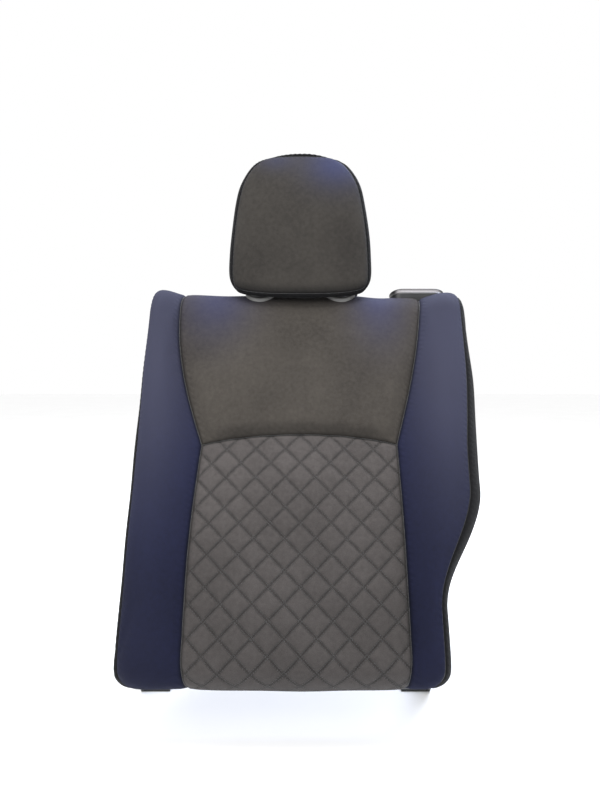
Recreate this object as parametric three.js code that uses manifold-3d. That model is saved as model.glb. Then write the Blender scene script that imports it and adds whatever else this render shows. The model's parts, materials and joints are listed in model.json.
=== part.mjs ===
// Narrow backrest of a split folding rear seat: pressed and tubular steel frame, moulded foam pad,
// sewn trim covers, carpeted rear panel, head restraint, side latch and the two floor brackets.
// Millimetres, +Z up, the seat faces -Y, the feet of the brackets stand on z = 0.
import * as THREE from 'three';
import { LoftGeometry } from 'three/addons/geometries/LoftGeometry.js';
import { mergeVertices } from 'three/addons/utils/BufferGeometryUtils.js';
import Module from 'manifold-3d';

const wasm = await Module();
wasm.setup();

// ---------------------------------------------------------------- driving dimensions
const RECLINE = THREE.MathUtils.degToRad(24);
const PIVOT_HEIGHT = 118;
const PAD_BOTTOM = -62;
const PAD_TOP = 558;
const PAD_REAR = 2.5;
const PAD_HALF_WIDTH = 259;
const WAIST = 335;
const COVER = 2.6;
const GAP = 0.3;

const FRAME_TUBE = 10;
const FRAME_WALL = 1.6;
const FRAME_Y = -17;
const FRAME_INSET = 28;
const FRAME_TOP = 508;
const FRAME_LOW = -38;
const POCKET_FRONT = -29;

const PIN_RADIUS = 5;
const BUSH_RADIUS = 8;
const HINGE_PLATE = 4;
const BOLT_HEAD = 6;

const ROD_RADIUS = 6;
const ROD_LEAN = THREE.MathUtils.degToRad(12);
const ROD_SPACING = 135;
const ROD_Y = -47;
const ROD_Z = 551;
const HEAD_X = -11.5;

const HEAD_LEAN = THREE.MathUtils.degToRad(20);
const HEAD_FRONT = -101;
const HEAD_BOTTOM = 508;

const LATCH_Y = -14;
const LATCH_Z = 440;
const BUTTON_X = 190.5;
const BUTTON_Y = -38;

// ---------------------------------------------------------------- materials
function finish(color, roughness, metalness = 0) {
  return new THREE.MeshStandardMaterial({ color, roughness, metalness });
}

const NAVY = finish(0x474a68, 0.9);
const NAVY_DARK = finish(0x15161d, 0.9);
const CHARCOAL = finish(0x4a4647, 0.92);
const QUILTED = finish(0x5c5856, 0.92);
const FOAM = finish(0xd9c98c, 0.95);
const CARPET = finish(0x2b2b2d, 0.98);
const BLACK_PLASTIC = finish(0x1a1a1c, 0.55);
const GREY_PLASTIC = finish(0x8b8c8c, 0.5);
const STEEL_BLACK = finish(0x202124, 0.5, 0.6);
const STEEL_ZINC = finish(0xb4b6b4, 0.35, 0.9);
const CHROME = finish(0xd8d8da, 0.12, 1);

// ---------------------------------------------------------------- solid helpers
function solid(geometry) {
  const bare = new THREE.BufferGeometry().copy(geometry);
  bare.deleteAttribute('normal');
  bare.deleteAttribute('uv');
  const merged = mergeVertices(bare, 1e-4);
  return new wasm.Manifold(new wasm.Mesh({
    numProp: 3,
    vertProperties: new Float32Array(merged.getAttribute('position').array),
    triVerts: new Uint32Array(merged.getIndex().array),
  }));
}

function geometryOf(body) {
  const mesh = body.getMesh();
  const geometry = new THREE.BufferGeometry();
  geometry.setAttribute('position', new THREE.BufferAttribute(mesh.vertProperties, 3));
  geometry.setIndex(new THREE.BufferAttribute(mesh.triVerts, 1));
  geometry.computeVertexNormals();
  return geometry;
}

function minus(body, ...tools) {
  return tools.reduce((left, tool) => left.subtract(tool), body);
}

function joined(...bodies) {
  return bodies.reduce((left, right) => left.add(right));
}

function block(x0, x1, y0, y1, z0, z1) {
  const box = new THREE.BoxGeometry(x1 - x0, y1 - y0, z1 - z0);
  box.translate((x0 + x1) / 2, (y0 + y1) / 2, (z0 + z1) / 2);
  return solid(box);
}

function cylinderX(radius, x0, x1, y, z, sides = 16) {
  const cylinder = new THREE.CylinderGeometry(radius, radius, x1 - x0, sides);
  cylinder.rotateZ(Math.PI / 2);
  cylinder.translate((x0 + x1) / 2, y, z);
  return solid(cylinder);
}

function circleShape(radius, sides) {
  const ring = [];
  for (let i = 0; i < sides; i += 1) {
    const angle = (2 * Math.PI * i) / sides;
    ring.push(new THREE.Vector2(radius * Math.cos(angle), radius * Math.sin(angle)));
  }
  return ring;
}

// A round bar along a curve, or a tube with open ends where a bore is given.
function bar(curve, radius, steps = 1, sides = 10, bore = 0) {
  const shape = new THREE.Shape(circleShape(radius, sides));
  if (bore > 0) {
    shape.holes.push(new THREE.Path(circleShape(bore, sides)));
  }
  return solid(new THREE.ExtrudeGeometry(shape, { steps, extrudePath: curve, bevelEnabled: false }));
}

function line(from, to) {
  return new THREE.LineCurve3(new THREE.Vector3(...from), new THREE.Vector3(...to));
}

function smoothPath(points, tension = 0.35) {
  const corners = points.map((point) => new THREE.Vector3(...point));
  return new THREE.CatmullRomCurve3(corners, false, 'catmullrom', tension);
}

function shapeOf(points, holes = []) {
  const shape = new THREE.Shape(points.map(([a, b]) => new THREE.Vector2(a, b)));
  for (const [a, b, radius] of holes) {
    const ring = circleShape(radius, 16).map((point) => point.add(new THREE.Vector2(a, b)));
    shape.holes.push(new THREE.Path(ring));
  }
  return shape;
}

function extrude(shape, depth) {
  return new THREE.ExtrudeGeometry(shape, { depth, bevelEnabled: false, curveSegments: 6 });
}

// A flat plate drawn in the side view (y, z) and given its thickness along x.
function sidePlate(shape, x0, x1) {
  const geometry = extrude(shape, x1 - x0);
  const side = new THREE.Matrix4().makeBasis(
    new THREE.Vector3(0, 1, 0),
    new THREE.Vector3(0, 0, 1),
    new THREE.Vector3(1, 0, 0),
  );
  geometry.applyMatrix4(side);
  geometry.translate(x0, 0, 0);
  return solid(geometry);
}

// A flat plate drawn in the front view (x, z) and given its thickness along y.
function frontPlate(shape, y0, y1) {
  const geometry = extrude(shape, y1 - y0);
  geometry.rotateX(Math.PI / 2);
  geometry.translate(0, y1, 0);
  return solid(geometry);
}

function arcPoints(cx, cy, radius, from, to, steps) {
  const points = [];
  for (let i = 0; i <= steps; i += 1) {
    const angle = THREE.MathUtils.degToRad(from + ((to - from) * i) / steps);
    points.push([cx + radius * Math.cos(angle), cy + radius * Math.sin(angle)]);
  }
  return points;
}

// --------------------------------------------------------------- the pad's outline, by height above its edge
const { smoothstep, clamp, lerp } = THREE.MathUtils;
const PAD_HEIGHT = PAD_TOP - PAD_BOTTOM;
const FRONT_ROUND_LOW = 40;
const FRONT_ROUND_TOP = 60;
const CORNER_LOW = 24;
const CORNER_TOP = 14;

function cornerRetreat(height, inset) {
  const low = CORNER_LOW - Math.max(height, inset);
  const top = height - (PAD_HEIGHT - CORNER_TOP);
  const radius = low > 0 ? CORNER_LOW : CORNER_TOP;
  const rise = clamp(Math.max(low, top), 0, radius - inset);
  return radius - inset - Math.sqrt(Math.max((radius - inset) ** 2 - rise ** 2, 0));
}

function leftEdge() {
  return -PAD_HALF_WIDTH;
}

// The right side is cut away over the wheel arch in one S-shaped sweep.
const RIGHT_LOW = 189;
const ARCH_SWEEP = 61;
const UPPER_SWEEP = 9;

function rightEdge(height) {
  return RIGHT_LOW + ARCH_SWEEP * smoothstep(height, 100, 270) + UPPER_SWEEP * smoothstep(height, 270, 460);
}

function bendUp(u, roundness) {
  return roundness * Math.sin((Math.PI / 2) * u) + (1 - roundness) * u;
}

function hem(height) {
  return 4 * clamp((51 - height) / 51, 0, 1) ** 2;
}

function leftSeam(height) {
  const above = 48 * bendUp(clamp((height - WAIST) / 240, 0, 1), 1);
  const below = 10 * bendUp(clamp((WAIST - height) / 200, 0, 1), 1);
  return -159 - above - below + hem(height);
}

function rightSeam(height) {
  const above = 52 * bendUp(clamp((height - WAIST) / 255, 0, 1), 0.5);
  const below = 3 * bendUp(clamp((WAIST - height) / 200, 0, 1), 1);
  return 134 + above + below - hem(height);
}

function arcSeam(x) {
  return WAIST + 16 - 13.5 * ((x + 11) / 146) ** 2;
}

function centreDepth(height) {
  return 92 - 12 * clamp(height / 560, 0, 1);
}

function bolsterRise(height) {
  return 12 + 14 * Math.sin((Math.PI * clamp(height, 0, 620)) / 620);
}

// ---------------------------------------------------------------- the pad as a loft of level sections
const BOLSTER_TURN = 38;
const BOLSTER_CREST = 0.36;
const SIDE_LEAN = 3;
const BOLSTER_STEPS = 4;
const SLOPE_STEPS = 3;
const PANEL_STEPS = 6;

function frontRound(height, inset) {
  const low = clamp(FRONT_ROUND_LOW - height, 0, FRONT_ROUND_LOW - inset);
  const lowRadius = FRONT_ROUND_LOW - inset;
  const top = clamp(height - (PAD_HEIGHT - FRONT_ROUND_TOP), 0, FRONT_ROUND_TOP - inset);
  const topRadius = FRONT_ROUND_TOP - inset;
  const retreatLow = lowRadius - Math.sqrt(lowRadius ** 2 - low ** 2);
  const retreatTop = topRadius - Math.sqrt(topRadius ** 2 - top ** 2);
  return retreatLow + retreatTop;
}

function cornerStart(crest) {
  return crest + Math.min(BOLSTER_TURN, PAD_REAR - crest - 14);
}

function bolsterSide(edge, seam, crest, panel) {
  const width = seam - edge;
  const depth = cornerStart(crest) - crest;
  const points = [];
  for (let i = 0; i <= BOLSTER_STEPS; i += 1) {
    const turn = (Math.PI / 2) * (i / BOLSTER_STEPS);
    const x = edge + BOLSTER_CREST * width * (1 - Math.cos(turn));
    points.push([x, crest + depth * (1 - Math.sin(turn))]);
  }
  for (let i = 1; i <= SLOPE_STEPS; i += 1) {
    const u = i / SLOPE_STEPS;
    points.push([edge + width * lerp(BOLSTER_CREST, 1, u), lerp(crest, panel, smoothstep(u, 0, 1))]);
  }
  return points;
}

function padSection(height, inset, rear) {
  const retreat = cornerRetreat(height, inset);
  const left = leftEdge() + inset + retreat;
  const right = rightEdge(height) - inset - retreat;
  const seamLeft = Math.max(leftSeam(height), left + 20);
  const seamRight = Math.min(rightSeam(height), right - 20);
  const shift = inset + frontRound(height, inset);
  const panel = -centreDepth(height) + 3 + shift;
  const crest = -centreDepth(height) - bolsterRise(height) + shift;
  const leftSide = bolsterSide(left, seamLeft, crest, panel);
  const rightSide = bolsterSide(right, seamRight, crest, panel).reverse();
  const sideMiddle = (PAD_REAR + cornerStart(crest)) / 2;
  const points = [[left + SIDE_LEAN, rear], [left + SIDE_LEAN / 4, sideMiddle], ...leftSide];
  for (let i = 1; i < PANEL_STEPS; i += 1) {
    const u = (2 * i) / PANEL_STEPS - 1;
    points.push([lerp(seamLeft, seamRight, i / PANEL_STEPS), panel - 7 * (1 - u ** 4)]);
  }
  points.push(...rightSide, [right - SIDE_LEAN / 4, sideMiddle], [right - SIDE_LEAN, rear]);
  return points.map(([x, y]) => new THREE.Vector3(x, y, PAD_BOTTOM + height));
}

function padHeights(inset) {
  const heights = [];
  for (const angle of [90, 62, 36, 14]) {
    const rise = (FRONT_ROUND_LOW - inset) * Math.sin(THREE.MathUtils.degToRad(angle));
    heights.push(FRONT_ROUND_LOW - rise);
  }
  heights.push(62, 100, 142, 185, 228, 275, 335, 395, 460, 520);
  for (const angle of [8, 26, 44, 60, 74, 90]) {
    const rise = (FRONT_ROUND_TOP - inset) * Math.sin(THREE.MathUtils.degToRad(angle));
    heights.push(PAD_HEIGHT - FRONT_ROUND_TOP + rise);
  }
  return heights;
}

function padBody(inset, rear) {
  const sections = padHeights(inset).map((height) => padSection(height, inset, rear));
  return solid(new LoftGeometry(sections, { capStart: true, capEnd: true }));
}

// A prism through the whole pad between two upright edges, for cutting the covers and the pocket.
function regionBetween(leftLine, rightLine, z0, z1, y0, y1, steps = 14) {
  const heights = [];
  for (let i = 0; i <= steps; i += 1) {
    heights.push(lerp(z0, z1, i / steps));
  }
  const right = heights.map((z) => [rightLine(z - PAD_BOTTOM), z]);
  const left = heights.map((z) => [leftLine(z - PAD_BOTTOM), z]).reverse();
  return frontPlate(shapeOf([...right, ...left]), y0, y1);
}

const FAR = 40;
const REGION_FRONT = -150;
const REGION_REAR = 30;

function coverRegion(leftLine, rightLine) {
  return regionBetween(leftLine, rightLine, PAD_BOTTOM - FAR, PAD_TOP + FAR, REGION_FRONT, REGION_REAR, 24);
}

function arcRegion(above) {
  const seam = [];
  for (let x = -240; x <= 240; x += 30) {
    seam.push([x, PAD_BOTTOM + arcSeam(x) + (above ? GAP : 0)]);
  }
  const far = above ? PAD_TOP + FAR : PAD_BOTTOM - FAR;
  const outline = [...seam, [240, far], [-240, far]];
  return frontPlate(shapeOf(above ? outline : outline.reverse()), REGION_FRONT, REGION_REAR);
}

// The side walls lean in by SIDE_LEAN, so this seam lies just inside the thickness of the wall.
const GUSSET_SEAM = 7.5;

function leftGussetSeam() {
  return leftEdge() + GUSSET_SEAM;
}

function rightGussetSeam(height) {
  return rightEdge(height) - GUSSET_SEAM;
}

// ---------------------------------------------------------------- head restraint guides and their places
const rodUp = new THREE.Vector3(0, -Math.sin(ROD_LEAN), Math.cos(ROD_LEAN));
const GUIDES = { left: HEAD_X - ROD_SPACING / 2, right: HEAD_X + ROD_SPACING / 2 };

function alongRod(x, distance) {
  return [x, ROD_Y + rodUp.y * distance, ROD_Z + rodUp.z * distance];
}

function guideBar(x, from, to, radius, bore = 0, sides = 12) {
  return bar(line(alongRod(x, from), alongRod(x, to)), radius, 1, sides, bore);
}

// The collar's flange follows the rounded top edge of the pad.
const TOP_AXIS_Y = FRONT_ROUND_TOP - centreDepth(PAD_HEIGHT) - 4;
const TOP_AXIS_Z = PAD_TOP - FRONT_ROUND_TOP;
const COLLAR_HALF_WIDTH = 25;
const COLLAR_HALF_LENGTH = 27;
const COLLAR_TURN = THREE.MathUtils.degToRad(38);

function ellipsePrism(x, halfWidth, halfLength, sides = 18) {
  const ring = circleShape(1, sides).map((p) => [p.x * halfWidth, p.y * halfLength]);
  const geometry = extrude(shapeOf(ring), 60);
  geometry.translate(0, 0, FRONT_ROUND_TOP - 30);
  geometry.rotateX(COLLAR_TURN);
  geometry.translate(x, TOP_AXIS_Y, TOP_AXIS_Z);
  return solid(geometry);
}

function topShell(x, inner, outer) {
  const ring = (radius) => cylinderX(radius, x - 40, x + 40, TOP_AXIS_Y, TOP_AXIS_Z, 48);
  return ring(FRONT_ROUND_TOP + outer).subtract(ring(FRONT_ROUND_TOP + inner));
}

function collarFlange(x) {
  const full = topShell(x, GAP, 4.6).intersect(ellipsePrism(x, COLLAR_HALF_WIDTH, COLLAR_HALF_LENGTH));
  const dish = topShell(x, 2.6, 8).intersect(ellipsePrism(x, COLLAR_HALF_WIDTH - 7, COLLAR_HALF_LENGTH - 7));
  return full.subtract(dish);
}

const LOCK_LUG_Y = TOP_AXIS_Y - 14;
const LOCK_LUG_Z = TOP_AXIS_Z + 60.5;
const LOCK_HALF = 4;
const LOCK_LOW = 2;
const LOCK_HIGH = 6;

function lockBlock(x0, x1, half, low, high) {
  return block(x0, x1, LOCK_LUG_Y - half, LOCK_LUG_Y + half, LOCK_LUG_Z + low, LOCK_LUG_Z + high);
}

function guideSleeve(x, withLock) {
  const shank = guideBar(x, -104, 3, 8.2);
  let sleeve = joined(collarFlange(x), shank).subtract(guideBar(x, -120, 40, ROD_RADIUS + GAP));
  if (withLock) {
    const lug = lockBlock(x + 13, x + 27, 7, 0, 8);
    const slot = lockBlock(x + 15, x + 30, LOCK_HALF + GAP, LOCK_LOW - GAP, LOCK_HIGH + GAP);
    sleeve = minus(joined(sleeve, lug), slot, guideBar(x, -120, 40, ROD_RADIUS + GAP));
  }
  return sleeve;
}

function lockButton(x) {
  return lockBlock(x + 20, x + 32, LOCK_HALF, LOCK_LOW, LOCK_HIGH);
}

// ---------------------------------------------------------------- release button, its bezel and link rod
const BEZEL_LENGTH = 94;
const BEZEL_DEPTH = 42;
const BEZEL_TOP = 563;
const BEZEL_FLOOR = 527;
const BUTTON_TOP = 559;
const BUTTON_LOW = 543;

function stadium(length, depth) {
  const end = (length - depth) / 2;
  return shapeOf([...arcPoints(end, 0, depth / 2, -90, 90, 8), ...arcPoints(-end, 0, depth / 2, 90, 270, 8)]);
}

function stadiumPrism(length, depth, z0, z1) {
  const geometry = extrude(stadium(length, depth), z1 - z0);
  geometry.translate(BUTTON_X, BUTTON_Y, z0);
  return solid(geometry);
}

function releaseBezel() {
  return minus(
    stadiumPrism(BEZEL_LENGTH, BEZEL_DEPTH, BEZEL_FLOOR, BEZEL_TOP),
    stadiumPrism(BEZEL_LENGTH - 9, BEZEL_DEPTH - 9, BEZEL_FLOOR + 3, BEZEL_TOP + 1),
    stadiumPrism(14, 13.9, BEZEL_FLOOR - 1, BEZEL_FLOOR + 4),
  );
}

function releaseButton() {
  return stadiumPrism(BEZEL_LENGTH - 10, BEZEL_DEPTH - 10, BUTTON_LOW, BUTTON_TOP);
}

const LINK_X = 248;
const LINK_Y = LATCH_Y - 42;
const LINK_LOW = LATCH_Z + 20.2;
const LINK_RADIUS = 2.5;
const BUTTON_TRAVEL = 6;
const linkPath = smoothPath([
  [BUTTON_X, BUTTON_Y, BUTTON_LOW - GAP],
  [BUTTON_X, BUTTON_Y, BEZEL_FLOOR],
  [BUTTON_X + 4, BUTTON_Y - 1, BEZEL_FLOOR - 14],
  [LINK_X - 5, LINK_Y + 2, 490],
  [LINK_X, LINK_Y, 480],
  [LINK_X, LINK_Y, LINK_LOW],
], 0.3);

function coil(centre, radius, length, turns, wire) {
  const points = [];
  const steps = Math.round(turns * 7);
  for (let i = 0; i <= steps; i += 1) {
    const angle = (2 * Math.PI * i) / 7;
    const run = lerp(-length / 2, length / 2, i / steps);
    const local = [radius * Math.cos(angle), radius * Math.sin(angle), run];
    points.push(local.map((value, k) => value + centre[k]));
  }
  return bar(smoothPath(points, 0.5), wire, steps, 5);
}

// ---------------------------------------------------------------- side latch, drawn about the striker
const LATCH_PLATE = 2;
const LATCH_INNER_X = 243.3;
const HOOK_X0 = 246;
const HOOK_X1 = 250;
const LATCH_OUTER_X = 250.7;
const HOOK_U = -26;
const HOOK_W = 16;

function latchShape(points, holes = []) {
  const placed = points.map(([u, w]) => [LATCH_Y + u, LATCH_Z + w]);
  return shapeOf(placed, holes.map(([u, w, radius]) => [LATCH_Y + u, LATCH_Z + w, radius]));
}

function latchPlate(x0) {
  const outline = [
    [-44, -24], [15, -24], [15, -7], ...arcPoints(-1, 0, 7, -90, -270, 8), [15, 7],
    [15, 24], [9, 30], [-46, 30], [-50, 26], [-50, -18],
  ];
  return sidePlate(latchShape(outline, [[HOOK_U, HOOK_W, 4.3], [-38, -14, 3.2]]), x0, x0 + LATCH_PLATE);
}

function latchHook() {
  const outline = [
    ...arcPoints(HOOK_U, HOOK_W, 9, 250, 200, 2), [-44, 13], [-44, 19],
    ...arcPoints(HOOK_U, HOOK_W, 9, 150, 80, 3), [2, 22], [8, 18], [10.5, 12], [10.5, -3],
    [6.5, -3], [5.5, 8.5], [-12, 9],
  ].reverse();
  return sidePlate(latchShape(outline, [[HOOK_U, HOOK_W, 4.3]]), HOOK_X0, HOOK_X1);
}

function hookPin() {
  const place = [LATCH_Y + HOOK_U, LATCH_Z + HOOK_W];
  return joined(
    cylinderX(4, 242.4, 253, ...place),
    cylinderX(6, 253, 254.5, ...place),
  );
}

// ---------------------------------------------------------------- frame
function framePath(height) {
  return rightEdge(height) - FRAME_INSET;
}

const FRAME_LEFT_X = leftEdge() + FRAME_INSET;
const PAN_INSET = 21;

function rightTubePath() {
  const points = [];
  for (const height of [14, 60, 104, 145, 185, 226, 268, 340, 460, 580]) {
    points.push([framePath(height), FRAME_Y, PAD_BOTTOM + height]);
  }
  return smoothPath(points, 0.5);
}

function frameTube(from, to) {
  return bar(line(from, to), FRAME_TUBE, 1, 12, FRAME_TUBE - FRAME_WALL);
}

function backPan() {
  const left = () => leftEdge() + PAN_INSET;
  const right = (height) => rightEdge(height) - PAN_INSET;
  const sheet = regionBetween(left, right, -24, 520, -6.4, -5);
  const ports = [];
  for (const z of [130, 260, 390]) {
    ports.push(frontPlate(stadiumAt(-12, z, 150, 46), -10, 0));
  }
  return minus(sheet, ...ports);
}

function stadiumAt(x, z, length, depth) {
  const end = (length - depth) / 2;
  return shapeOf([
    ...arcPoints(x + end, z, depth / 2, -90, 90, 8),
    ...arcPoints(x - end, z, depth / 2, 90, 270, 8),
  ]);
}

function hingePlate(x0) {
  const outline = [[-26, 34], [-26, -16], ...arcPoints(0, 0, 13, 225, 450, 8), [-8, 34]];
  return sidePlate(shapeOf(outline, [[0, 0, BUSH_RADIUS + GAP]]), x0, x0 + HINGE_PLATE);
}

function pivotBush(x0) {
  const body = cylinderX(BUSH_RADIUS, x0 - 1.5, x0 + HINGE_PLATE + 1.5, 0, 0, 20);
  return body.subtract(cylinderX(PIN_RADIUS + GAP, x0 - 3, x0 + HINGE_PLATE + 3, 0, 0, 20));
}

// The bolt runs from its head outside the bracket, through it, into the bush of the hinge plate.
function pivotBolt(headX, tipX, outward) {
  const headEnd = headX + BOLT_HEAD * outward;
  const shank = cylinderX(PIN_RADIUS, Math.min(headX, tipX), Math.max(headX, tipX), 0, 0, 20);
  const hexagon = cylinderX(11, Math.min(headX, headEnd), Math.max(headX, headEnd), 0, 0, 6);
  return joined(shank, hexagon);
}

// ---------------------------------------------------------------- floor brackets, drawn with the floor level
const BRACKET_PLATE = 4;
const FOOT_NEAR = 76;
const FOOT_FAR = 142;
const FOOT_WIDTH = 46;
const FOOT_HOLES = [94, 124];

function floorBracket(x0, footSide) {
  const outline = [
    ...arcPoints(0, 0, 17, 60, 240, 8),
    [FOOT_NEAR, -PIVOT_HEIGHT],
    [FOOT_FAR, -PIVOT_HEIGHT],
    [FOOT_FAR, 22 - PIVOT_HEIGHT],
  ].reverse();
  const upright = sidePlate(shapeOf(outline, [[0, 0, PIN_RADIUS + GAP]]), x0, x0 + BRACKET_PLATE);
  const inner = footSide > 0 ? x0 : x0 + BRACKET_PLATE - FOOT_WIDTH;
  const footTop = BRACKET_PLATE - PIVOT_HEIGHT;
  const foot = block(inner, inner + FOOT_WIDTH, FOOT_NEAR, FOOT_FAR, -PIVOT_HEIGHT, footTop);
  const holeX = inner + FOOT_WIDTH / 2 + 4 * footSide;
  const holes = FOOT_HOLES.map((y) => {
    const drill = new THREE.CylinderGeometry(5.25, 5.25, 12, 16);
    drill.rotateX(Math.PI / 2);
    drill.translate(holeX, y, footTop);
    return solid(drill);
  });
  return minus(joined(upright, foot), ...holes);
}

// ---------------------------------------------------------------- cushion: foam and covers
const PIN_HOLE = 15;
const centreBracketX = leftEdge() - 3.5 - BRACKET_PLATE;
const outboardBracketX = rightEdge(62) + 3.5;
const centreHingeX = leftEdge() + 13.5;
const outboardHingeX = rightEdge(62) - 16.5;

function pinOpening(x0, x1) {
  return joined(
    cylinderX(PIN_HOLE, x0, x1, 0, 0, 20),
    block(x0, x1, 0, 12, -PIN_HOLE, PIN_HOLE),
  );
}

const pinOpenings = joined(
  pinOpening(leftEdge() - 20, leftEdge() + 26),
  pinOpening(outboardHingeX - 6, outboardBracketX + 10),
);
const guideOpenings = joined(
  guideBar(GUIDES.left, -125, 60, FRAME_TUBE + 0.5),
  guideBar(GUIDES.right, -125, 60, FRAME_TUBE + 0.5),
);
const bezelOpening = stadiumPrism(BEZEL_LENGTH + 1, BEZEL_DEPTH + 1, BEZEL_FLOOR - 0.5, BEZEL_TOP + 30);
const strikerSlot = block(240, 270, LATCH_Y - 8, 20, LATCH_Z - 8, LATCH_Z + 8);
const lugOpening = block(
  GUIDES.right + 12, GUIDES.right + 33, LOCK_LUG_Y - 8, LOCK_LUG_Y + 8, LOCK_LUG_Z - 1, LOCK_LUG_Z + 12,
);
const openings = joined(pinOpenings, guideOpenings, bezelOpening, strikerSlot, lugOpening);

const WIRE = 1.6;
const WIRE_Y = -67;
const SLOT = 5;
const WIRE_LOW = 60;
const WIRE_TOP = 520;
const ARC_WIRE_LEFT = -140;
const ARC_WIRE_RIGHT = 116;

function seamWirePath(seam) {
  const points = [];
  for (let i = 0; i <= 8; i += 1) {
    const height = lerp(WIRE_LOW, WIRE_TOP, i / 8);
    points.push([seam(height), WIRE_Y, PAD_BOTTOM + height]);
  }
  return smoothPath(points, 0.5);
}

function arcWirePath() {
  const points = [];
  for (let i = 0; i <= 6; i += 1) {
    const x = lerp(ARC_WIRE_LEFT, ARC_WIRE_RIGHT, i / 6);
    points.push([x, WIRE_Y, PAD_BOTTOM + arcSeam(x)]);
  }
  return smoothPath(points, 0.5);
}

function seamWire(path) {
  return bar(path, WIRE, 8, 6);
}

// The foam is slotted behind each sewn line, so that the cover can be drawn down to its wire.
function seamSlot(seam) {
  return regionBetween(
    (height) => seam(height) - SLOT, (height) => seam(height) + SLOT,
    PAD_BOTTOM + WIRE_LOW - 3, PAD_BOTTOM + WIRE_TOP + 3, REGION_FRONT, WIRE_Y + SLOT, 12,
  );
}

function arcSlot() {
  const edge = (side) => {
    const points = [];
    for (let i = 0; i <= 6; i += 1) {
      const x = lerp(ARC_WIRE_LEFT - 3, ARC_WIRE_RIGHT + 3, i / 6);
      points.push([x, PAD_BOTTOM + arcSeam(x) + side * SLOT]);
    }
    return points;
  };
  return frontPlate(shapeOf([...edge(-1), ...edge(1).reverse()]), REGION_FRONT, WIRE_Y + SLOT);
}

function foamPad() {
  const pocket = regionBetween(
    () => leftEdge() + 15, (height) => rightEdge(height) - 15, -52, 522, POCKET_FRONT, 20,
  );
  const latchBay = block(241, 256.2, LATCH_Y - 54, 20, LATCH_Z - 28, LATCH_Z + 44);
  const hingeBays = joined(
    block(centreHingeX - 3, centreHingeX + 8, -30, 20, -20, 38),
    block(outboardHingeX - 4, outboardHingeX + 9, -30, 20, -20, 38),
  );
  const linkChannel = bar(linkPath, 8, 14, 8).translate([0, 0, -BUTTON_TRAVEL / 2]);
  const slots = [seamSlot(leftSeam), seamSlot(rightSeam), arcSlot()];
  const pad = padBody(COVER + GAP, PAD_REAR - GAP);
  return minus(pad, pocket, latchBay, hingeBays, linkChannel, ...slots, openings);
}

const coverShell = minus(padBody(0, PAD_REAR), padBody(COVER, PAD_REAR + 20), openings);

function cover(region) {
  return coverShell.intersect(region);
}

function sewn(seam, side) {
  return (height) => seam(height) + side * GAP / 2;
}

const beyondLeft = () => -PAD_HALF_WIDTH - FAR;
const beyondRight = () => PAD_HALF_WIDTH + FAR;
const insertRegion = coverRegion(sewn(leftSeam, 1), sewn(rightSeam, -1));

// ---------------------------------------------------------------- rear panel, and the cover's clip profile
function carpetPanel() {
  const panel = regionBetween(
    (height) => leftEdge() + 4 + cornerRetreat(clamp(height, 6, 614), 0),
    (height) => rightEdge(height) - 4 - cornerRetreat(clamp(height, 6, 614), 0),
    PAD_BOTTOM + 5, PAD_TOP - 8, PAD_REAR + 0.5, PAD_REAR + 5, 40,
  );
  return minus(panel, pinOpenings, strikerSlot);
}

function hookProfile() {
  const outer = arcPoints(FRAME_Y, FRAME_LOW, FRAME_TUBE + 2, -130, -12, 8);
  const inner = arcPoints(FRAME_Y, FRAME_LOW, FRAME_TUBE + 0.4, -12, -130, 8);
  return sidePlate(shapeOf([...outer, ...inner]), -200, 130);
}

// ---------------------------------------------------------------- head restraint, in its own leaning frame
const HEAD_CENTRE = 51;
const HEAD_HEIGHT = 260;
const HEAD_ROWS = [0, 3, 11, 35, 90, 146, 186, 216, 239, 253, HEAD_HEIGHT];
const headOutline = new THREE.SplineCurve([
  new THREE.Vector2(109, 0),
  new THREE.Vector2(121, 28),
  new THREE.Vector2(120, 101),
  new THREE.Vector2(111, 174),
  new THREE.Vector2(99, 216),
  new THREE.Vector2(73, 248),
  new THREE.Vector2(24, HEAD_HEIGHT),
]);

function headHalfWidth(level) {
  let best = headOutline.getPoint(0);
  for (let i = 1; i <= 120; i += 1) {
    const point = headOutline.getPoint(i / 120);
    best = Math.abs(point.y - level) < Math.abs(best.y - level) ? point : best;
  }
  return best.x;
}

function headHalfDepth(level) {
  const low = 47.5 - 14 * clamp((12 - level) / 12, 0, 1) ** 2;
  const top = 31 * clamp((level - 130) / 130, 0, 1) ** 2.4;
  return low - top;
}

// The head's level sections are ovals drawn out towards a rectangle.
function squared(share) {
  return Math.sign(share) * Math.abs(share) ** 0.72;
}

function headSection(level, inset) {
  const count = 22;
  const halfWidth = headHalfWidth(level) - inset;
  const halfDepth = headHalfDepth(level) - inset;
  const height = lerp(inset, HEAD_HEIGHT - inset, level / HEAD_HEIGHT);
  const slant = 0.66 * (1 - smoothstep(level, 0, 90));
  const points = [];
  for (let i = 0; i < count; i += 1) {
    const angle = (2 * Math.PI * i) / count;
    const y = HEAD_CENTRE + halfDepth * squared(Math.sin(angle));
    points.push(new THREE.Vector3(halfWidth * squared(Math.cos(angle)), y, height + slant * y));
  }
  return points;
}

function headBody(inset) {
  const sections = HEAD_ROWS.map((level) => headSection(level, inset));
  return solid(new LoftGeometry(sections, { capStart: true, capEnd: true }));
}

// The place of a seat point in the head restraint's frame, on the middle plane.
function toHead(y, z) {
  const dy = y - HEAD_FRONT;
  const dz = z - HEAD_BOTTOM;
  const across = dy * Math.cos(HEAD_LEAN) + dz * Math.sin(HEAD_LEAN);
  return [across, dz * Math.cos(HEAD_LEAN) - dy * Math.sin(HEAD_LEAN)];
}

const ROD_END = 128;
const ROD_LOW = -128;
const ROD_CORNER = 18;

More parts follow.
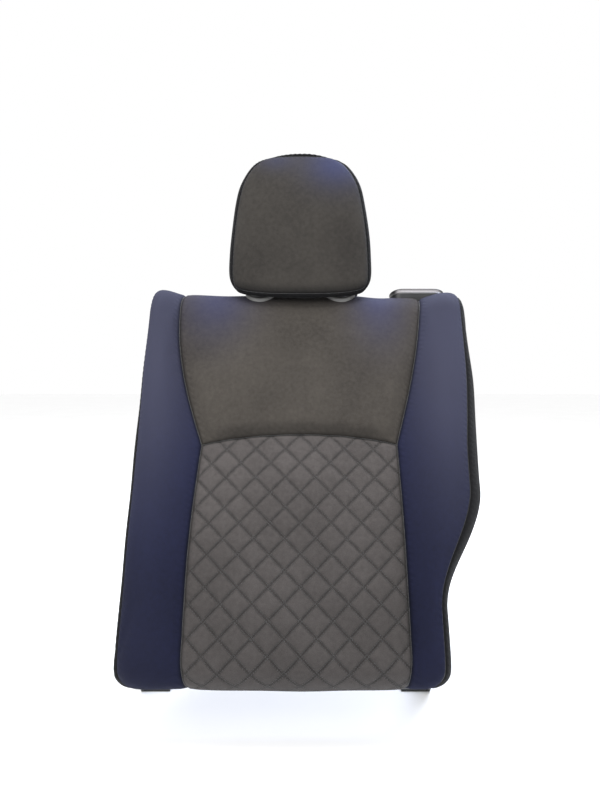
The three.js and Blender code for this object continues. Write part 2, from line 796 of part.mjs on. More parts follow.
// A point of the rods' plane: across the head, up along the rods, and off the plane.
function onRodPlane(across, up, off) {
  const [, y, z] = alongRod(0, up);
  const [depth, rise] = toHead(y, z);
  const turn = HEAD_LEAN - ROD_LEAN;
  return new THREE.Vector3(across, depth - off * Math.cos(turn), rise + off * Math.sin(turn));
}

function headRod(radius, sides = 12) {
  const half = ROD_SPACING / 2;
  const bend = half - ROD_CORNER;
  const route = [
    [-half, ROD_LOW],
    ...arcPoints(-bend, ROD_END - ROD_CORNER, ROD_CORNER, 180, 90, 4),
    ...arcPoints(bend, ROD_END - ROD_CORNER, ROD_CORNER, 90, 0, 4),
    [half, ROD_LOW],
  ];
  const rings = route.map((point, i) => {
    const before = route[Math.max(i - 1, 0)];
    const after = route[Math.min(i + 1, route.length - 1)];
    const along = new THREE.Vector2(after[0] - before[0], after[1] - before[1]).normalize();
    return circleShape(radius, sides).map((p) => onRodPlane(
      point[0] - along.y * p.x,
      point[1] + along.x * p.x,
      p.y,
    ));
  });
  return solid(new LoftGeometry(rings, { capStart: true, capEnd: true }));
}

const HEAD_SEAM = 13;
const HEAD_SEAM_TOP = HEAD_HEIGHT - 11;
const HEAD_CORE = [-74, 74, 62, 87, 78, 162];

function headFaceRegion(z0, y0, y1, grow) {
  const right = [];
  for (let i = 0; i <= 12; i += 1) {
    const z = lerp(z0, HEAD_SEAM_TOP, i / 12);
    const reach = grow * (i === 12 ? 1 : 0) - grow * (i === 0 ? 1 : 0);
    right.push([headHalfWidth(z) - HEAD_SEAM + grow, z + reach]);
  }
  const left = right.map(([x, z]) => [-x, z]).reverse();
  return frontPlate(shapeOf([...right, ...left]), y0, y1);
}

const headShell = minus(headBody(0), headBody(COVER), headRod(ROD_RADIUS + 1));
const headFront = (grow) => headFaceRegion(26, -20, HEAD_CENTRE - 22, grow);
const headRear = (grow) => headFaceRegion(78, HEAD_CENTRE + 22, 130, grow);

function headFoam() {
  const [x0, x1, y0, y1, z0, z1] = HEAD_CORE;
  const bay = block(x0 - GAP, x1 + GAP, y0 - GAP, y1 + GAP, z0 - GAP, z1 + GAP);
  return minus(headBody(COVER + GAP), bay, headRod(ROD_RADIUS + GAP));
}

// ---------------------------------------------------------------- assembly
function parts(material, bodies) {
  return Object.entries(bodies).map(([name, body]) => {
    const mesh = new THREE.Mesh(geometryOf(body), material);
    mesh.name = name;
    return mesh;
  });
}

const TUBE_END = FRAME_TUBE + GAP;
const frameRight = (z) => framePath(z - PAD_BOTTOM) - TUBE_END;

function crossTube(z) {
  return frameTube([FRAME_LEFT_X + TUBE_END, FRAME_Y, z], [frameRight(z), FRAME_Y, z]);
}

const head = new THREE.Group();
head.position.set(HEAD_X, HEAD_FRONT, HEAD_BOTTOM);
head.rotation.x = HEAD_LEAN;
head.add(
  ...parts(CHROME, { headrest_rod: headRod(ROD_RADIUS) }),
  ...parts(BLACK_PLASTIC, { headrest_core: minus(block(...HEAD_CORE), headRod(ROD_RADIUS + GAP)) }),
  ...parts(FOAM, { headrest_foam: headFoam() }),
  ...parts(CHARCOAL, {
    headrest_front_cover: headShell.intersect(headFront(0)),
    headrest_rear_cover: headShell.intersect(headRear(0)),
  }),
  ...parts(NAVY_DARK, { headrest_side_band: minus(headShell, headFront(0.5), headRear(0.5)) }),
);

const backrest = new THREE.Group();
backrest.rotation.x = -RECLINE;
backrest.add(
  ...parts(STEEL_BLACK, {
    frame_left_tube: frameTube([FRAME_LEFT_X, FRAME_Y, -48], [FRAME_LEFT_X, FRAME_Y, 518]),
    frame_right_tube: bar(rightTubePath(), FRAME_TUBE, 11, 10, FRAME_TUBE - FRAME_WALL),
    frame_top_tube: crossTube(FRAME_TOP),
    frame_lower_tube: crossTube(FRAME_LOW),
    back_pan: backPan(),
    centre_hinge_plate: hingePlate(centreHingeX),
    outboard_hinge_plate: hingePlate(outboardHingeX),
    left_guide_tube: guideBar(GUIDES.left, -100, -9, FRAME_TUBE, 8.5),
    right_guide_tube: guideBar(GUIDES.right, -100, -9, FRAME_TUBE, 8.5),
  }),
  ...parts(GREY_PLASTIC, {
    left_guide_sleeve: guideSleeve(GUIDES.left, false),
    right_guide_sleeve: guideSleeve(GUIDES.right, true),
  }),
  ...parts(BLACK_PLASTIC, {
    centre_pivot_bush: pivotBush(centreHingeX),
    outboard_pivot_bush: pivotBush(outboardHingeX),
    headrest_lock_button: lockButton(GUIDES.right),
    cover_hook_profile: hookProfile(),
    release_bezel: releaseBezel(),
    release_button: releaseButton(),
  }),
  ...parts(STEEL_ZINC, {
    release_rod: bar(linkPath, LINK_RADIUS, 18, 8),
    release_spring: coil([BUTTON_X, BUTTON_Y, 536.5], 10.5, 9.5, 3, 0.8),
    latch_inner_plate: latchPlate(LATCH_INNER_X),
    latch_outer_plate: latchPlate(LATCH_OUTER_X),
    latch_hook: latchHook(),
    latch_hook_pin: hookPin(),
    left_seam_wire: seamWire(seamWirePath(leftSeam)),
    right_seam_wire: seamWire(seamWirePath(rightSeam)),
    arc_seam_wire: seamWire(arcWirePath()),
  }),
  ...parts(FOAM, { foam_pad: foamPad() }),
  ...parts(CHARCOAL, { upper_insert_cover: cover(insertRegion.intersect(arcRegion(true))) }),
  ...parts(QUILTED, { quilted_insert_cover: cover(insertRegion.intersect(arcRegion(false))) }),
  ...parts(NAVY, {
    left_bolster_cover: cover(coverRegion(sewn(leftGussetSeam, 1), sewn(leftSeam, -1))),
    right_bolster_cover: cover(coverRegion(sewn(rightSeam, 1), sewn(rightGussetSeam, -1))),
  }),
  ...parts(NAVY_DARK, {
    left_gusset_cover: cover(coverRegion(beyondLeft, sewn(leftGussetSeam, -1))),
    right_gusset_cover: cover(coverRegion(sewn(rightGussetSeam, 1), beyondRight)),
  }),
  ...parts(CARPET, { rear_carpet_panel: carpetPanel() }),
  head,
);

const base = new THREE.Group();
base.add(
  ...parts(STEEL_BLACK, {
    centre_floor_bracket: floorBracket(centreBracketX, 1),
    outboard_floor_bracket: floorBracket(outboardBracketX, -1),
  }),
  ...parts(STEEL_ZINC, {
    centre_pivot_bolt: pivotBolt(centreBracketX - GAP, centreHingeX + HINGE_PLATE + 3, -1),
    outboard_pivot_bolt: pivotBolt(outboardBracketX + BRACKET_PLATE + GAP, outboardHingeX - 3, 1),
  }),
);

// The origin is the middle of the whole object's footprint, on the floor.
const seat = new THREE.Group();
seat.add(base, backrest);
const footprint = new THREE.Box3().setFromObject(seat, true);
const middle = footprint.getCenter(new THREE.Vector3());
seat.position.set(-middle.x, -middle.y, PIVOT_HEIGHT);

export default seat;
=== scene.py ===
"""Looks of a split rear seat backrest: sewn covers over foam, head restraint, fittings and rear panel.

Shapes are worked out in the backrest's own frame (millimetres: x right, y rearward, z up along the
backrest, from the hinge axis) and carried into the row frame, in metres, by `place`.
"""
import json
import math

import bmesh
import bpy
import numpy as np
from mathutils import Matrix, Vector
from mathutils.bvhtree import BVHTree
from mathutils.kdtree import KDTree


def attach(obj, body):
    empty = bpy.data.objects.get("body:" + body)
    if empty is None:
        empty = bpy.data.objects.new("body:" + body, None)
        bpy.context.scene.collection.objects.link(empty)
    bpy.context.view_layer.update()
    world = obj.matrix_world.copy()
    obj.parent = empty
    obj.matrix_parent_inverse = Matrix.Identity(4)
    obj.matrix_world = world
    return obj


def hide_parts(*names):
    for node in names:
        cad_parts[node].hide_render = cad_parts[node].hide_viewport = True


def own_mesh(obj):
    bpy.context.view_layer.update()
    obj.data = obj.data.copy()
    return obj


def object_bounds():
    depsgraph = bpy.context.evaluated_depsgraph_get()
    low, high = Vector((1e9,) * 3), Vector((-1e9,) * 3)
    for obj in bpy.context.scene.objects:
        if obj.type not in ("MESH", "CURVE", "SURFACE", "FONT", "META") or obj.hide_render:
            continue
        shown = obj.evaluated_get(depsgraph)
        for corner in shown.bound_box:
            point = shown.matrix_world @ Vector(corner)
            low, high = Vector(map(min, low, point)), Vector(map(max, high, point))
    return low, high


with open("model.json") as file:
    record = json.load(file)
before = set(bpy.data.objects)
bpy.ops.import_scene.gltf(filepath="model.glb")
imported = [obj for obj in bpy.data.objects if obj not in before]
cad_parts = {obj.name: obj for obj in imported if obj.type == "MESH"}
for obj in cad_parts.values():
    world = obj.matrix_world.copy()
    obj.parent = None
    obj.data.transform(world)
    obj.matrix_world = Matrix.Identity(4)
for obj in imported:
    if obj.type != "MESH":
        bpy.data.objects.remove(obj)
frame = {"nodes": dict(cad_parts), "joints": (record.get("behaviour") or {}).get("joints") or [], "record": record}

MM = 0.001
JOINTS = {joint["name"]: joint for joint in frame["joints"]}
PIVOT = np.array(JOINTS["backrest_fold"]["pos_m"])
UP = -np.array(JOINTS["release_button_press"]["axis"])
REAR = np.array([0.0, UP[2], -UP[1]])
RIGHT = np.array([1.0, 0.0, 0.0])


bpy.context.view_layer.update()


# ---------------------------------------------------------------- frames and small maths
def place(points):
    """Backrest frame in millimetres to row frame in metres."""
    p = np.asarray(points, float)
    return PIVOT + MM * (p[..., 0:1] * RIGHT + p[..., 1:2] * REAR + p[..., 2:3] * UP)


def unplace(points):
    q = (np.asarray(points, float) - PIVOT) / MM
    return np.stack([q @ RIGHT, q @ REAR, q @ UP], axis=-1)


def turned(vectors):
    """Directions of the backrest frame in the row frame."""
    v = np.asarray(vectors, float)
    return v[..., 0:1] * RIGHT + v[..., 1:2] * REAR + v[..., 2:3] * UP


def smoothstep(x, low, high):
    t = np.clip((np.asarray(x, float) - low) / (high - low), 0.0, 1.0)
    return t * t * (3 - 2 * t)


def lerp(a, b, t):
    return a + (b - a) * t


def bell(distance, width):
    return np.exp(-((np.asarray(distance, float) / width) ** 2))


def patch(x, z, middle, size):
    """A soft oval spot."""
    return bell(np.hypot((x - middle[0]) / size[0], (z - middle[1]) / size[1]), 1)


def in_stadium(x, y, inset=0.0):
    """Whether a point lies inside the release surround's outline, seen along the backrest."""
    half_length, half_depth = BEZEL_LENGTH / 2 - inset, BEZEL_DEPTH / 2 - inset
    run = np.clip(np.abs(x - BUTTON_X) - (half_length - half_depth), 0, None)
    return np.hypot(run, y - BUTTON_Y) < half_depth


# ---------------------------------------------------------------- meshes
def link(obj):
    bpy.context.scene.collection.objects.link(obj)
    return obj


def build(name, points, faces, owners=None, smooth=True):
    """A mesh object from backrest-frame points."""
    mesh = bpy.data.meshes.new(name)
    mesh.from_pydata(place(points).tolist(), [], [list(map(int, f)) for f in faces])
    if owners is not None:
        mesh.polygons.foreach_set("material_index", np.asarray(owners, np.int32))
    mesh.polygons.foreach_set("use_smooth", [smooth] * len(mesh.polygons))
    mesh.update()
    return link(bpy.data.objects.new(name, mesh))


def face_out(obj):
    """Turns every face of a closed shape outwards."""
    shape = bmesh.new()
    shape.from_mesh(obj.data)
    bmesh.ops.recalc_face_normals(shape, faces=shape.faces)
    shape.to_mesh(obj.data)
    shape.free()
    return obj


def mesh_points(mesh):
    co = np.zeros(len(mesh.vertices) * 3)
    mesh.vertices.foreach_get("co", co)
    return unplace(co.reshape(-1, 3))


def points_of(obj):
    return mesh_points(obj.data)


def move_points(obj, points):
    obj.data.vertices.foreach_set("co", place(points).ravel())
    obj.data.update()


def normals_of(obj):
    """Vertex normals in the backrest frame."""
    n = np.zeros(len(obj.data.vertices) * 3)
    obj.data.vertex_normals.foreach_get("vector", n)
    n = n.reshape(-1, 3)
    return np.stack([n @ RIGHT, n @ REAR, n @ UP], axis=-1)


def corners_of(obj):
    """The point at each face corner."""
    index = np.zeros(len(obj.data.loops), np.int64)
    obj.data.loops.foreach_get("vertex_index", index)
    return index


def quads_of(obj):
    return corners_of(obj).reshape(-1, 4)


def owners_of(obj):
    index = np.zeros(len(obj.data.polygons), np.int32)
    obj.data.polygons.foreach_get("material_index", index)
    return index


def bake_modifiers(obj):
    mesh = bpy.data.meshes.new_from_object(obj.evaluated_get(bpy.context.evaluated_depsgraph_get()))
    old = obj.data
    obj.modifiers.clear()
    obj.data = mesh
    bpy.data.meshes.remove(old)
    mesh.name = obj.name
    mesh.polygons.foreach_set("use_smooth", [True] * len(mesh.polygons))


def subdivide(obj, levels):
    modifier = obj.modifiers.new("subdivision", "SUBSURF")
    modifier.levels = levels
    modifier.render_levels = levels
    bake_modifiers(obj)


def bevel(obj, width, segments=3):
    modifier = obj.modifiers.new("bevel", "BEVEL")
    modifier.width = width * MM
    modifier.segments = segments
    modifier.limit_method = "ANGLE"
    modifier.angle_limit = math.radians(35)
    bake_modifiers(obj)


def paint(obj, **layers):
    """Point layers that the materials read: how deep in a seam, for painted shade there; how much painted shade,
    painted highlight or painted sheen; and where a band of other colour lies.
    """
    for name, values in layers.items():
        layer = obj.data.attributes.new(name, "FLOAT", "POINT")
        layer.data.foreach_set("value", np.asarray(values, np.float32))


def lay_weave(obj, coordinates):
    """Fabric coordinates in metres, one pair for each point."""
    layer = obj.data.uv_layers.new(name="weave")
    layer.uv.foreach_set("vector", np.asarray(coordinates, np.float32)[corners_of(obj)].ravel())


def dress(obj, material, body):
    obj.data.materials.clear()
    obj.data.materials.append(material)
    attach(obj, body)
    return obj


# ---------------------------------------------------------------- cloth
def inflate(obj, pinned, pressure, cap, frames=16):
    """Lets the fabric swell between its pinned seams, and holds each point within the cap, in mm."""
    start = points_of(obj)
    group = obj.vertex_groups.new(name="seams_and_painted_shade")
    group.add([int(i) for i in pinned], 1.0, "REPLACE")
    cloth = obj.modifiers.new("cloth", "CLOTH")
    settings = cloth.settings
    settings.quality = 5
    settings.mass = 0.3
    settings.tension_stiffness = 15
    settings.compression_stiffness = 12
    settings.shear_stiffness = 8
    settings.bending_stiffness = 1.5
    settings.vertex_group_mass = "seams_and_painted_shade"
    settings.use_pressure = True
    settings.uniform_pressure_force = pressure
    settings.effector_weights.gravity = 0
    cloth.collision_settings.use_collision = False
    scene = bpy.context.scene
    for step in range(1, frames + 1):
        scene.frame_set(step)
    settled = obj.evaluated_get(bpy.context.evaluated_depsgraph_get()).data
    moved = mesh_points(settled) - start
    obj.modifiers.clear()
    obj.vertex_groups.clear()
    scene.frame_set(1)
    length = np.linalg.norm(moved, axis=1, keepdims=True)
    held = cap * np.tanh(length / cap) / np.maximum(length, 1e-9)
    move_points(obj, start + moved * held)


def seam_points(quads, owners):
    """Edges where two covers meet, and the points on them."""
    edges = np.concatenate([quads[:, [k, (k + 1) % 4]] for k in range(4)])
    edges.sort(axis=1)
    faces = np.tile(np.arange(len(quads)), 4)
    order = np.lexsort((edges[:, 1], edges[:, 0]))
    edges, faces = edges[order], faces[order]
    same = np.all(edges[1:] == edges[:-1], axis=1)
    meets = same & (owners[faces[1:]] != owners[faces[:-1]])
    return edges[1:][meets], faces[1:][meets], faces[:-1][meets]


def nearness(points, targets):
    """Distance from each point to the nearest target, in mm."""
    tree = KDTree(len(targets))
    for i, target in enumerate(targets):
        tree.insert(Vector(target), i)
    tree.balance()
    return np.array([tree.find(Vector(point))[2] for point in points])


def chains(edges):
    """Joins loose edges into runs of points."""
    links = {}
    for a, b in edges.tolist():
        links.setdefault(a, []).append(b)
        links.setdefault(b, []).append(a)
    runs = []
    while links:
        ends = [p for p, near in links.items() if len(near) == 1]
        here = min(ends) if ends else min(links)
        run = [here]
        while links.get(here):
            there = links[here].pop()
            links[there].remove(here)
            if not links[here]:
                del links[here]
            run.append(there)
            here = there
        links.pop(here, None)
        runs.append(run)
    return runs


def seam_runs(edges, owners_a, owners_b):
    """Seams as runs of points, one or more for each pair of covers."""
    pairs = np.sort(np.stack([owners_a, owners_b], axis=1), axis=1)
    runs = []
    for pair in np.unique(pairs, axis=0):
        runs += [run for run in chains(edges[np.all(pairs == pair, axis=1)]) if len(run) > 12]
    return runs


def ring_faces(rings, sides, closed=False):
    """Quads between neighbouring rings of a swept shape."""
    faces = []
    for i in range(rings if closed else rings - 1):
        for k in range(sides):
            n = (k + 1) % sides
            j = (i + 1) % rings
            faces.append((i * sides + k, i * sides + n, j * sides + n, j * sides + k))
    return faces


def close_ends(rings, sides):
    """One face over the first ring and one over the last."""
    return [tuple(range(sides))[::-1], tuple((rings - 1) * sides + k for k in range(sides))]


def tube(path, radius, sides=8):
    """Points and quads of a round thread along a path of backrest-frame points."""
    path = np.asarray(path, float)
    along = np.gradient(path, axis=0)
    along /= np.maximum(np.linalg.norm(along, axis=1, keepdims=True), 1e-9)
    radius = np.broadcast_to(np.asarray(radius, float), (len(path),))
    side = np.cross(along[0], [0.0, 1.0, 0.03])
    points = []
    for here, forward, r in zip(path, along, radius):
        side = side - forward * (side @ forward)
        side /= np.linalg.norm(side)
        up = np.cross(forward, side)
        for k in range(sides):
            turn = 2 * math.pi * k / sides
            points.append(here + r * (math.cos(turn) * side + math.sin(turn) * up))
    faces = ring_faces(len(path), sides) + close_ends(len(path), sides)
    return np.array(points), faces


def merge(parts):
    """Several (points, faces) as one."""
    points, faces, count = [], [], 0
    for p, f in parts:
        points.append(np.asarray(p, float))
        faces.extend([tuple(int(i) + count for i in face) for face in f])
        count += len(p)
    return np.concatenate(points), faces


def split(obj, names, paints, coordinates, cut=None):
    """One object for each cover of a shell; cut marks faces that are left out."""
    points, quads, owners = points_of(obj), quads_of(obj), owners_of(obj)
    pieces = {}
    for k, name in enumerate(names):
        mine = quads[(owners == k) & (~cut if cut is not None else True)]
        used, faces = np.unique(mine, return_inverse=True)
        piece = build(name, points[used], faces.reshape(-1, 4))
        paint(piece, **{key: values[used] for key, values in paints.items()})
        lay_weave(piece, coordinates[used])
        pieces[name] = piece
    bpy.data.objects.remove(obj)
    return pieces


# ---------------------------------------------------------------- outline of the pad
# h is the height above its lower edge
PAD_BOTTOM = -62.0
PAD_HEIGHT = 620.0
PAD_REAR = 2.5
HALF_WIDTH = 259.0
WAIST = 335.0
CORNER_LOW = 24.0
CORNER_TOP = 14.0
ROUND_LOW = 40.0
ROUND_TOP = 60.0
BOLSTER_TURN = 38.0
BOLSTER_CREST = 0.36
SIDE_LEAN = 3.0
SEAM_TUCK = 3.0
HEM = 11.0
SEAM_FADE = 30.0
ARC_REACH = 150.0


def right_edge(h):
    return 189 + 61 * smoothstep(h, 100, 270) + 9 * smoothstep(h, 270, 460)


def bend_up(u, roundness):
    u = np.clip(u, 0, 1)
    return roundness * np.sin(np.pi / 2 * u) + (1 - roundness) * u


def hem_flare(h):
    return 4 * np.clip((51 - h) / 51, 0, 1) ** 2


def left_seam(h):
    return -159 - 48 * bend_up((h - WAIST) / 240, 1) - 10 * bend_up((WAIST - h) / 200, 1) + hem_flare(h)


def right_seam(h):
    return 134 + 52 * bend_up((h - WAIST) / 255, 0.5) + 3 * bend_up((WAIST - h) / 200, 1) - hem_flare(h)


def arc_rise(x):
    """How far the seam across the panel stands above the waist."""
    return 16 - 13.5 * ((x + 11) / 146) ** 2


def rounding(h, low_radius, top_radius):
    """How far a quarter-round edge falls back near the bottom and the top."""
    low = np.clip(low_radius - h, 0, low_radius)
    top = np.clip(h - (PAD_HEIGHT - top_radius), 0, top_radius)
    return (low_radius - np.sqrt(low_radius**2 - low**2)) + (top_radius - np.sqrt(top_radius**2 - top**2))


def centre_depth(h):
    return 92 - 12 * np.clip(h / 560, 0, 1)


def bolster_rise(h):
    return 12 + 14 * np.sin(np.pi * np.clip(h, 0, PAD_HEIGHT) / PAD_HEIGHT)


def along_front(h):
    """Length along the cover from its lower edge, counted so that it is h on the flat part."""
    low = np.clip((ROUND_LOW - h) / ROUND_LOW, 0, 1)
    top = np.clip((h - (PAD_HEIGHT - ROUND_TOP)) / ROUND_TOP, 0, 1)
    flat = np.clip(h, ROUND_LOW, PAD_HEIGHT - ROUND_TOP)
    return flat - ROUND_LOW * np.arcsin(low) + ROUND_TOP * np.arcsin(top)


# ---------------------------------------------------------------- the pad's covers as one sheet of quads
WALL, GUSSET_ARC, BOLSTER_ARC, SLOPE, CENTRE = 8, 4, 8, 10, 64
BLOCKS = [WALL, GUSSET_ARC, BOLSTER_ARC, SLOPE, CENTRE, SLOPE, BOLSTER_ARC, GUSSET_ARC, WALL]
EDGES = np.cumsum([0] + BLOCKS)
COLUMNS = int(EDGES[-1]) + 1
GUSSET_L, SEAM_L, SEAM_R, GUSSET_R = (int(EDGES[i]) for i in (2, 4, 5, 7))
COVERS = ["left_gusset", "left_bolster", "upper_insert", "quilted_insert", "right_bolster", "right_gusset"]


def bolster_profile(edge, seam, crest, panel, gusset_turn):
    """Corner and slope of one bolster, from the side wall to the seam."""
    depth = min(BOLSTER_TURN, PAD_REAR - crest - 14)
    turns = np.concatenate([
        np.linspace(0, gusset_turn, GUSSET_ARC + 1),
        np.linspace(gusset_turn, math.pi / 2, BOLSTER_ARC + 1)[1:],
    ])
    u = np.linspace(0, 1, SLOPE + 1)[1:]
    span = seam - edge
    x = [edge + BOLSTER_CREST * span * (1 - np.cos(turns)), edge + span * lerp(BOLSTER_CREST, 1, u)]
    y = [crest + depth * (1 - np.sin(turns)), crest + (panel - crest) * smoothstep(u, 0, 1)]
    return np.concatenate(x), np.concatenate(y)


def wall(edge, start, inward):
    s = np.linspace(0, 1, WALL + 1)[:-1]
    return edge + inward * (SIDE_LEAN * (1 - s) ** 2 - 1.0 * np.sin(np.pi * s)), lerp(PAD_REAR, start, s)


def ring(h):
    """One level row of the pad, from the left rear edge round the front to the right rear edge."""
    retreat = rounding(h, CORNER_LOW, CORNER_TOP)
    left = -HALF_WIDTH + retreat
    right = right_edge(h) - retreat
    seam_l = max(left_seam(h), left + 20)
    seam_r = min(right_seam(h), right - 20)
    shift = rounding(h, ROUND_LOW, ROUND_TOP)
    panel = -centre_depth(h) + SEAM_TUCK + shift
    crest = -centre_depth(h) - bolster_rise(h) + shift
    share = h / PAD_HEIGHT
    lx, ly = bolster_profile(left, seam_l, crest, panel, math.radians(lerp(43, 33, share)))
    rx, ry = bolster_profile(right, seam_r, crest, panel, math.radians(lerp(68, 52, share)))
    wlx, wly = wall(left, ly[0], 1)
    wrx, wry = wall(right, ry[0], -1)
    u = np.linspace(-1, 1, CENTRE + 1)[1:-1]
    x = np.concatenate([wlx, lx, lerp(seam_l, seam_r, (u + 1) / 2), rx[::-1], wrx[::-1]])
    y = np.concatenate([wly, ly, panel - 7 * (1 - u**4), ry[::-1], wry[::-1]])
    return x, y


def row_heights():
    low = ROUND_LOW * (1 - np.sin(np.radians(np.linspace(90, 0, 11))))
    middle = np.concatenate([np.linspace(45, WAIST, 53), np.linspace(WAIST, 556, 40)[1:]])
    top = PAD_HEIGHT - ROUND_TOP * (1 - np.sin(np.radians(np.linspace(0, 90, 15))))
    return np.concatenate([low, middle, top])


def pad_grid(heights):
    grid = []
    for h in heights:
        x, y = ring(h)
        left, right = left_seam(h), right_seam(h)
        between = smoothstep(x, left - SEAM_FADE, left) * smoothstep(-x, -right - SEAM_FADE, -right)
        arc = arc_rise(np.clip(x, left, right)) * between * (1 - smoothstep(abs(h - WAIST), 0, ARC_REACH))
        lift = 6 * smoothstep(h, 480, 615) * smoothstep(np.abs(x + 9), 120, 225)
        grid.append(np.stack([x, y, PAD_BOTTOM + h + arc + lift], axis=-1))
    return np.array(grid)


def cap_rows(edge_row, crown):
    """Rows from the front of the top or bottom row back to the rear edge."""
    front = edge_row[WALL:COLUMNS - WALL]
    across = np.linspace(0, 1, len(front))
    rows = []
    for j in range(1, WALL + 1):
        t = j / WALL
        left, right = edge_row[WALL - j], edge_row[COLUMNS - 1 - WALL + j]
        row = front.copy()
        row[:, 0] += (left[0] - front[0, 0]) * bell(front[:, 0] - front[0, 0], 30)
        row[:, 0] += (right[0] - front[-1, 0]) * bell(front[:, 0] - front[-1, 0], 30)
        row[:, 1] = lerp(front[:, 1], PAD_REAR, t)
        row[:, 2] += crown * math.sin(math.pi * t) * np.sqrt(np.sin(math.pi * across).clip(0))
        row[0], row[-1] = left, right
        rows.append(row)
    return rows


def owner(above_arc, column):
    """The cover that a column of quads belongs to."""
    if column < GUSSET_L:
        return 0
    if column < SEAM_L:
        return 1
    if column < SEAM_R:
        return 2 if above_arc else 3
    return 4 if column < GUSSET_R else 5


def pad_shell():
    heights = row_heights()
    arc_row = int(np.argmin(np.abs(heights - WAIST)))
    grid = pad_grid(heights)
    rows = len(heights)
    main = np.arange(rows * COLUMNS).reshape(rows, COLUMNS)
    points = [grid.reshape(-1, 3)]
    count = rows * COLUMNS
    quads, owners = [], []
    for i in range(rows - 1):
        for j in range(COLUMNS - 1):
            quads.append((main[i, j], main[i, j + 1], main[i + 1, j + 1], main[i + 1, j]))
            owners.append(owner(i >= arc_row, j))
    rear = {}
    for top in (True, False):
        edge = main[-1] if top else main[0]
        inner = cap_rows(grid[-1] if top else grid[0], 2.5 if top else -1.5)
        ids = [edge[WALL:COLUMNS - WALL]]
        for j, row in enumerate(inner, 1):
            new = count + np.arange(len(row) - 2)
            ids.append(np.concatenate([[edge[WALL - j]], new, [edge[COLUMNS - 1 - WALL + j]]]))
            points.append(row[1:-1])
            count += len(new)
        for j in range(WALL):
            for k in range(len(ids[0]) - 1):
                quad = (ids[j][k], ids[j][k + 1], ids[j + 1][k + 1], ids[j + 1][k])
                quads.append(quad if top else quad[::-1])
                owners.append(owner(top, WALL + k))
        rear[top] = ids[WALL]
    loop = list(main[:, 0]) + list(rear[True][1:]) + list(main[::-1, -1])[1:] + list(rear[False][::-1])[1:-1]
    loop_owner = [0] * (rows - 1) + [owner(True, WALL + k) for k in range(len(rear[True]) - 1)]
    loop_owner += [5] * (rows - 1) + [owner(False, WALL + k) for k in range(len(rear[False]) - 1)][::-1]
    so_far = np.concatenate(points)
    edge_line = so_far[loop]
    along = np.roll(edge_line, -1, axis=0) - np.roll(edge_line, 1, axis=0)
    inward = np.stack([along[:, 2], 0 * along[:, 0], -along[:, 0]], axis=-1)
    inward /= np.linalg.norm(inward, axis=1, keepdims=True)
    points.append(edge_line + HEM * inward + [0, -0.4, 0])
    size = len(loop)
    for k in range(size):
        n = (k + 1) % size
        quads.append((loop[k], loop[n], count + n, count + k))
        owners.append(loop_owner[k])
    pinned = set(loop) | set(range(count, count + size)) | set(main[arc_row, SEAM_L:SEAM_R + 1])
    for column in (GUSSET_L, SEAM_L, SEAM_R, GUSSET_R):
        pinned |= set(main[:, column])
    obj = build("pad_shell", np.concatenate(points), quads, owners)
    return obj, sorted(pinned)


def pad_weave(p):
    """Fabric coordinates of the pad's covers: across, and up along the front."""
    h = p[:, 2] - PAD_BOTTOM
    outer = np.sign(p[:, 0]) * smoothstep(np.abs(p[:, 0]), 150, 220) * (p[:, 1] + 90)
    over = smoothstep(h, 608, 622) * (p[:, 1] + 24) - smoothstep(-h, -8, 1) * (p[:, 1] + 50)
    return MM * np.stack([p[:, 0] + outer, along_front(h) + over], axis=-1)


# ---------------------------------------------------------------- quilting
QUILT_X, QUILT_Z = 43.7, 44.0
QUILT_AT = (-11.6, 305.6)
QUILT_PUFF = 3.2
QUILT_GAP = QUILT_X / math.sqrt(2)
STITCH_ROW = 1.75
STITCH_PITCH = 3.7
ARC_ROLL = 5.5
SIDE_SWELL = 4.5
RIGHT_DROP = 5.0


def quilt_phases(x, s):
    """Two phases, whole numbers on the sewn lines that rise to the left and to the right."""
    a, b = (x - QUILT_AT[0]) / QUILT_X, (s - QUILT_AT[1]) / QUILT_Z
    return a + b, a - b


def quilt_puff(p):
    h = p[:, 2] - PAD_BOTTOM
    swell = []
    for phase in quilt_phases(p[:, 0], along_front(h)):
        distance = np.abs(phase - np.round(phase)) * QUILT_GAP
        swell.append(1 - (1 - np.clip((distance - 1.2) / (QUILT_GAP / 2 - 1.2), 0, 1)) ** 2.3)
    return (swell[0] * swell[1]) ** 0.6


def stitch_places(inside):
    """Middles and directions of the stitches, on the flat pattern."""
    places = []
    step = STITCH_PITCH / QUILT_GAP
    for family in (0, 1):
        for line in range(-16, 17):
            for row in (-1, 1):
                fixed = line + row * STITCH_ROW / QUILT_GAP
                for free in np.arange(-16, 16, step):
                    along, across = (free, fixed) if family else (fixed, free)
                    a, b = (along + across) / 2, (along - across) / 2
                    x, s = QUILT_AT[0] + a * QUILT_X, QUILT_AT[1] + b * QUILT_Z
                    if inside(x, s):
                        places.append((x, s, 1 if family else -1))
    return places


def height_at(s):
    """The height whose length along the front is s."""
    turn = np.clip((ROUND_LOW - s) / ROUND_LOW, 0, 1.5)
    return np.where(s < ROUND_LOW, ROUND_LOW - ROUND_LOW * np.sin(turn), s)


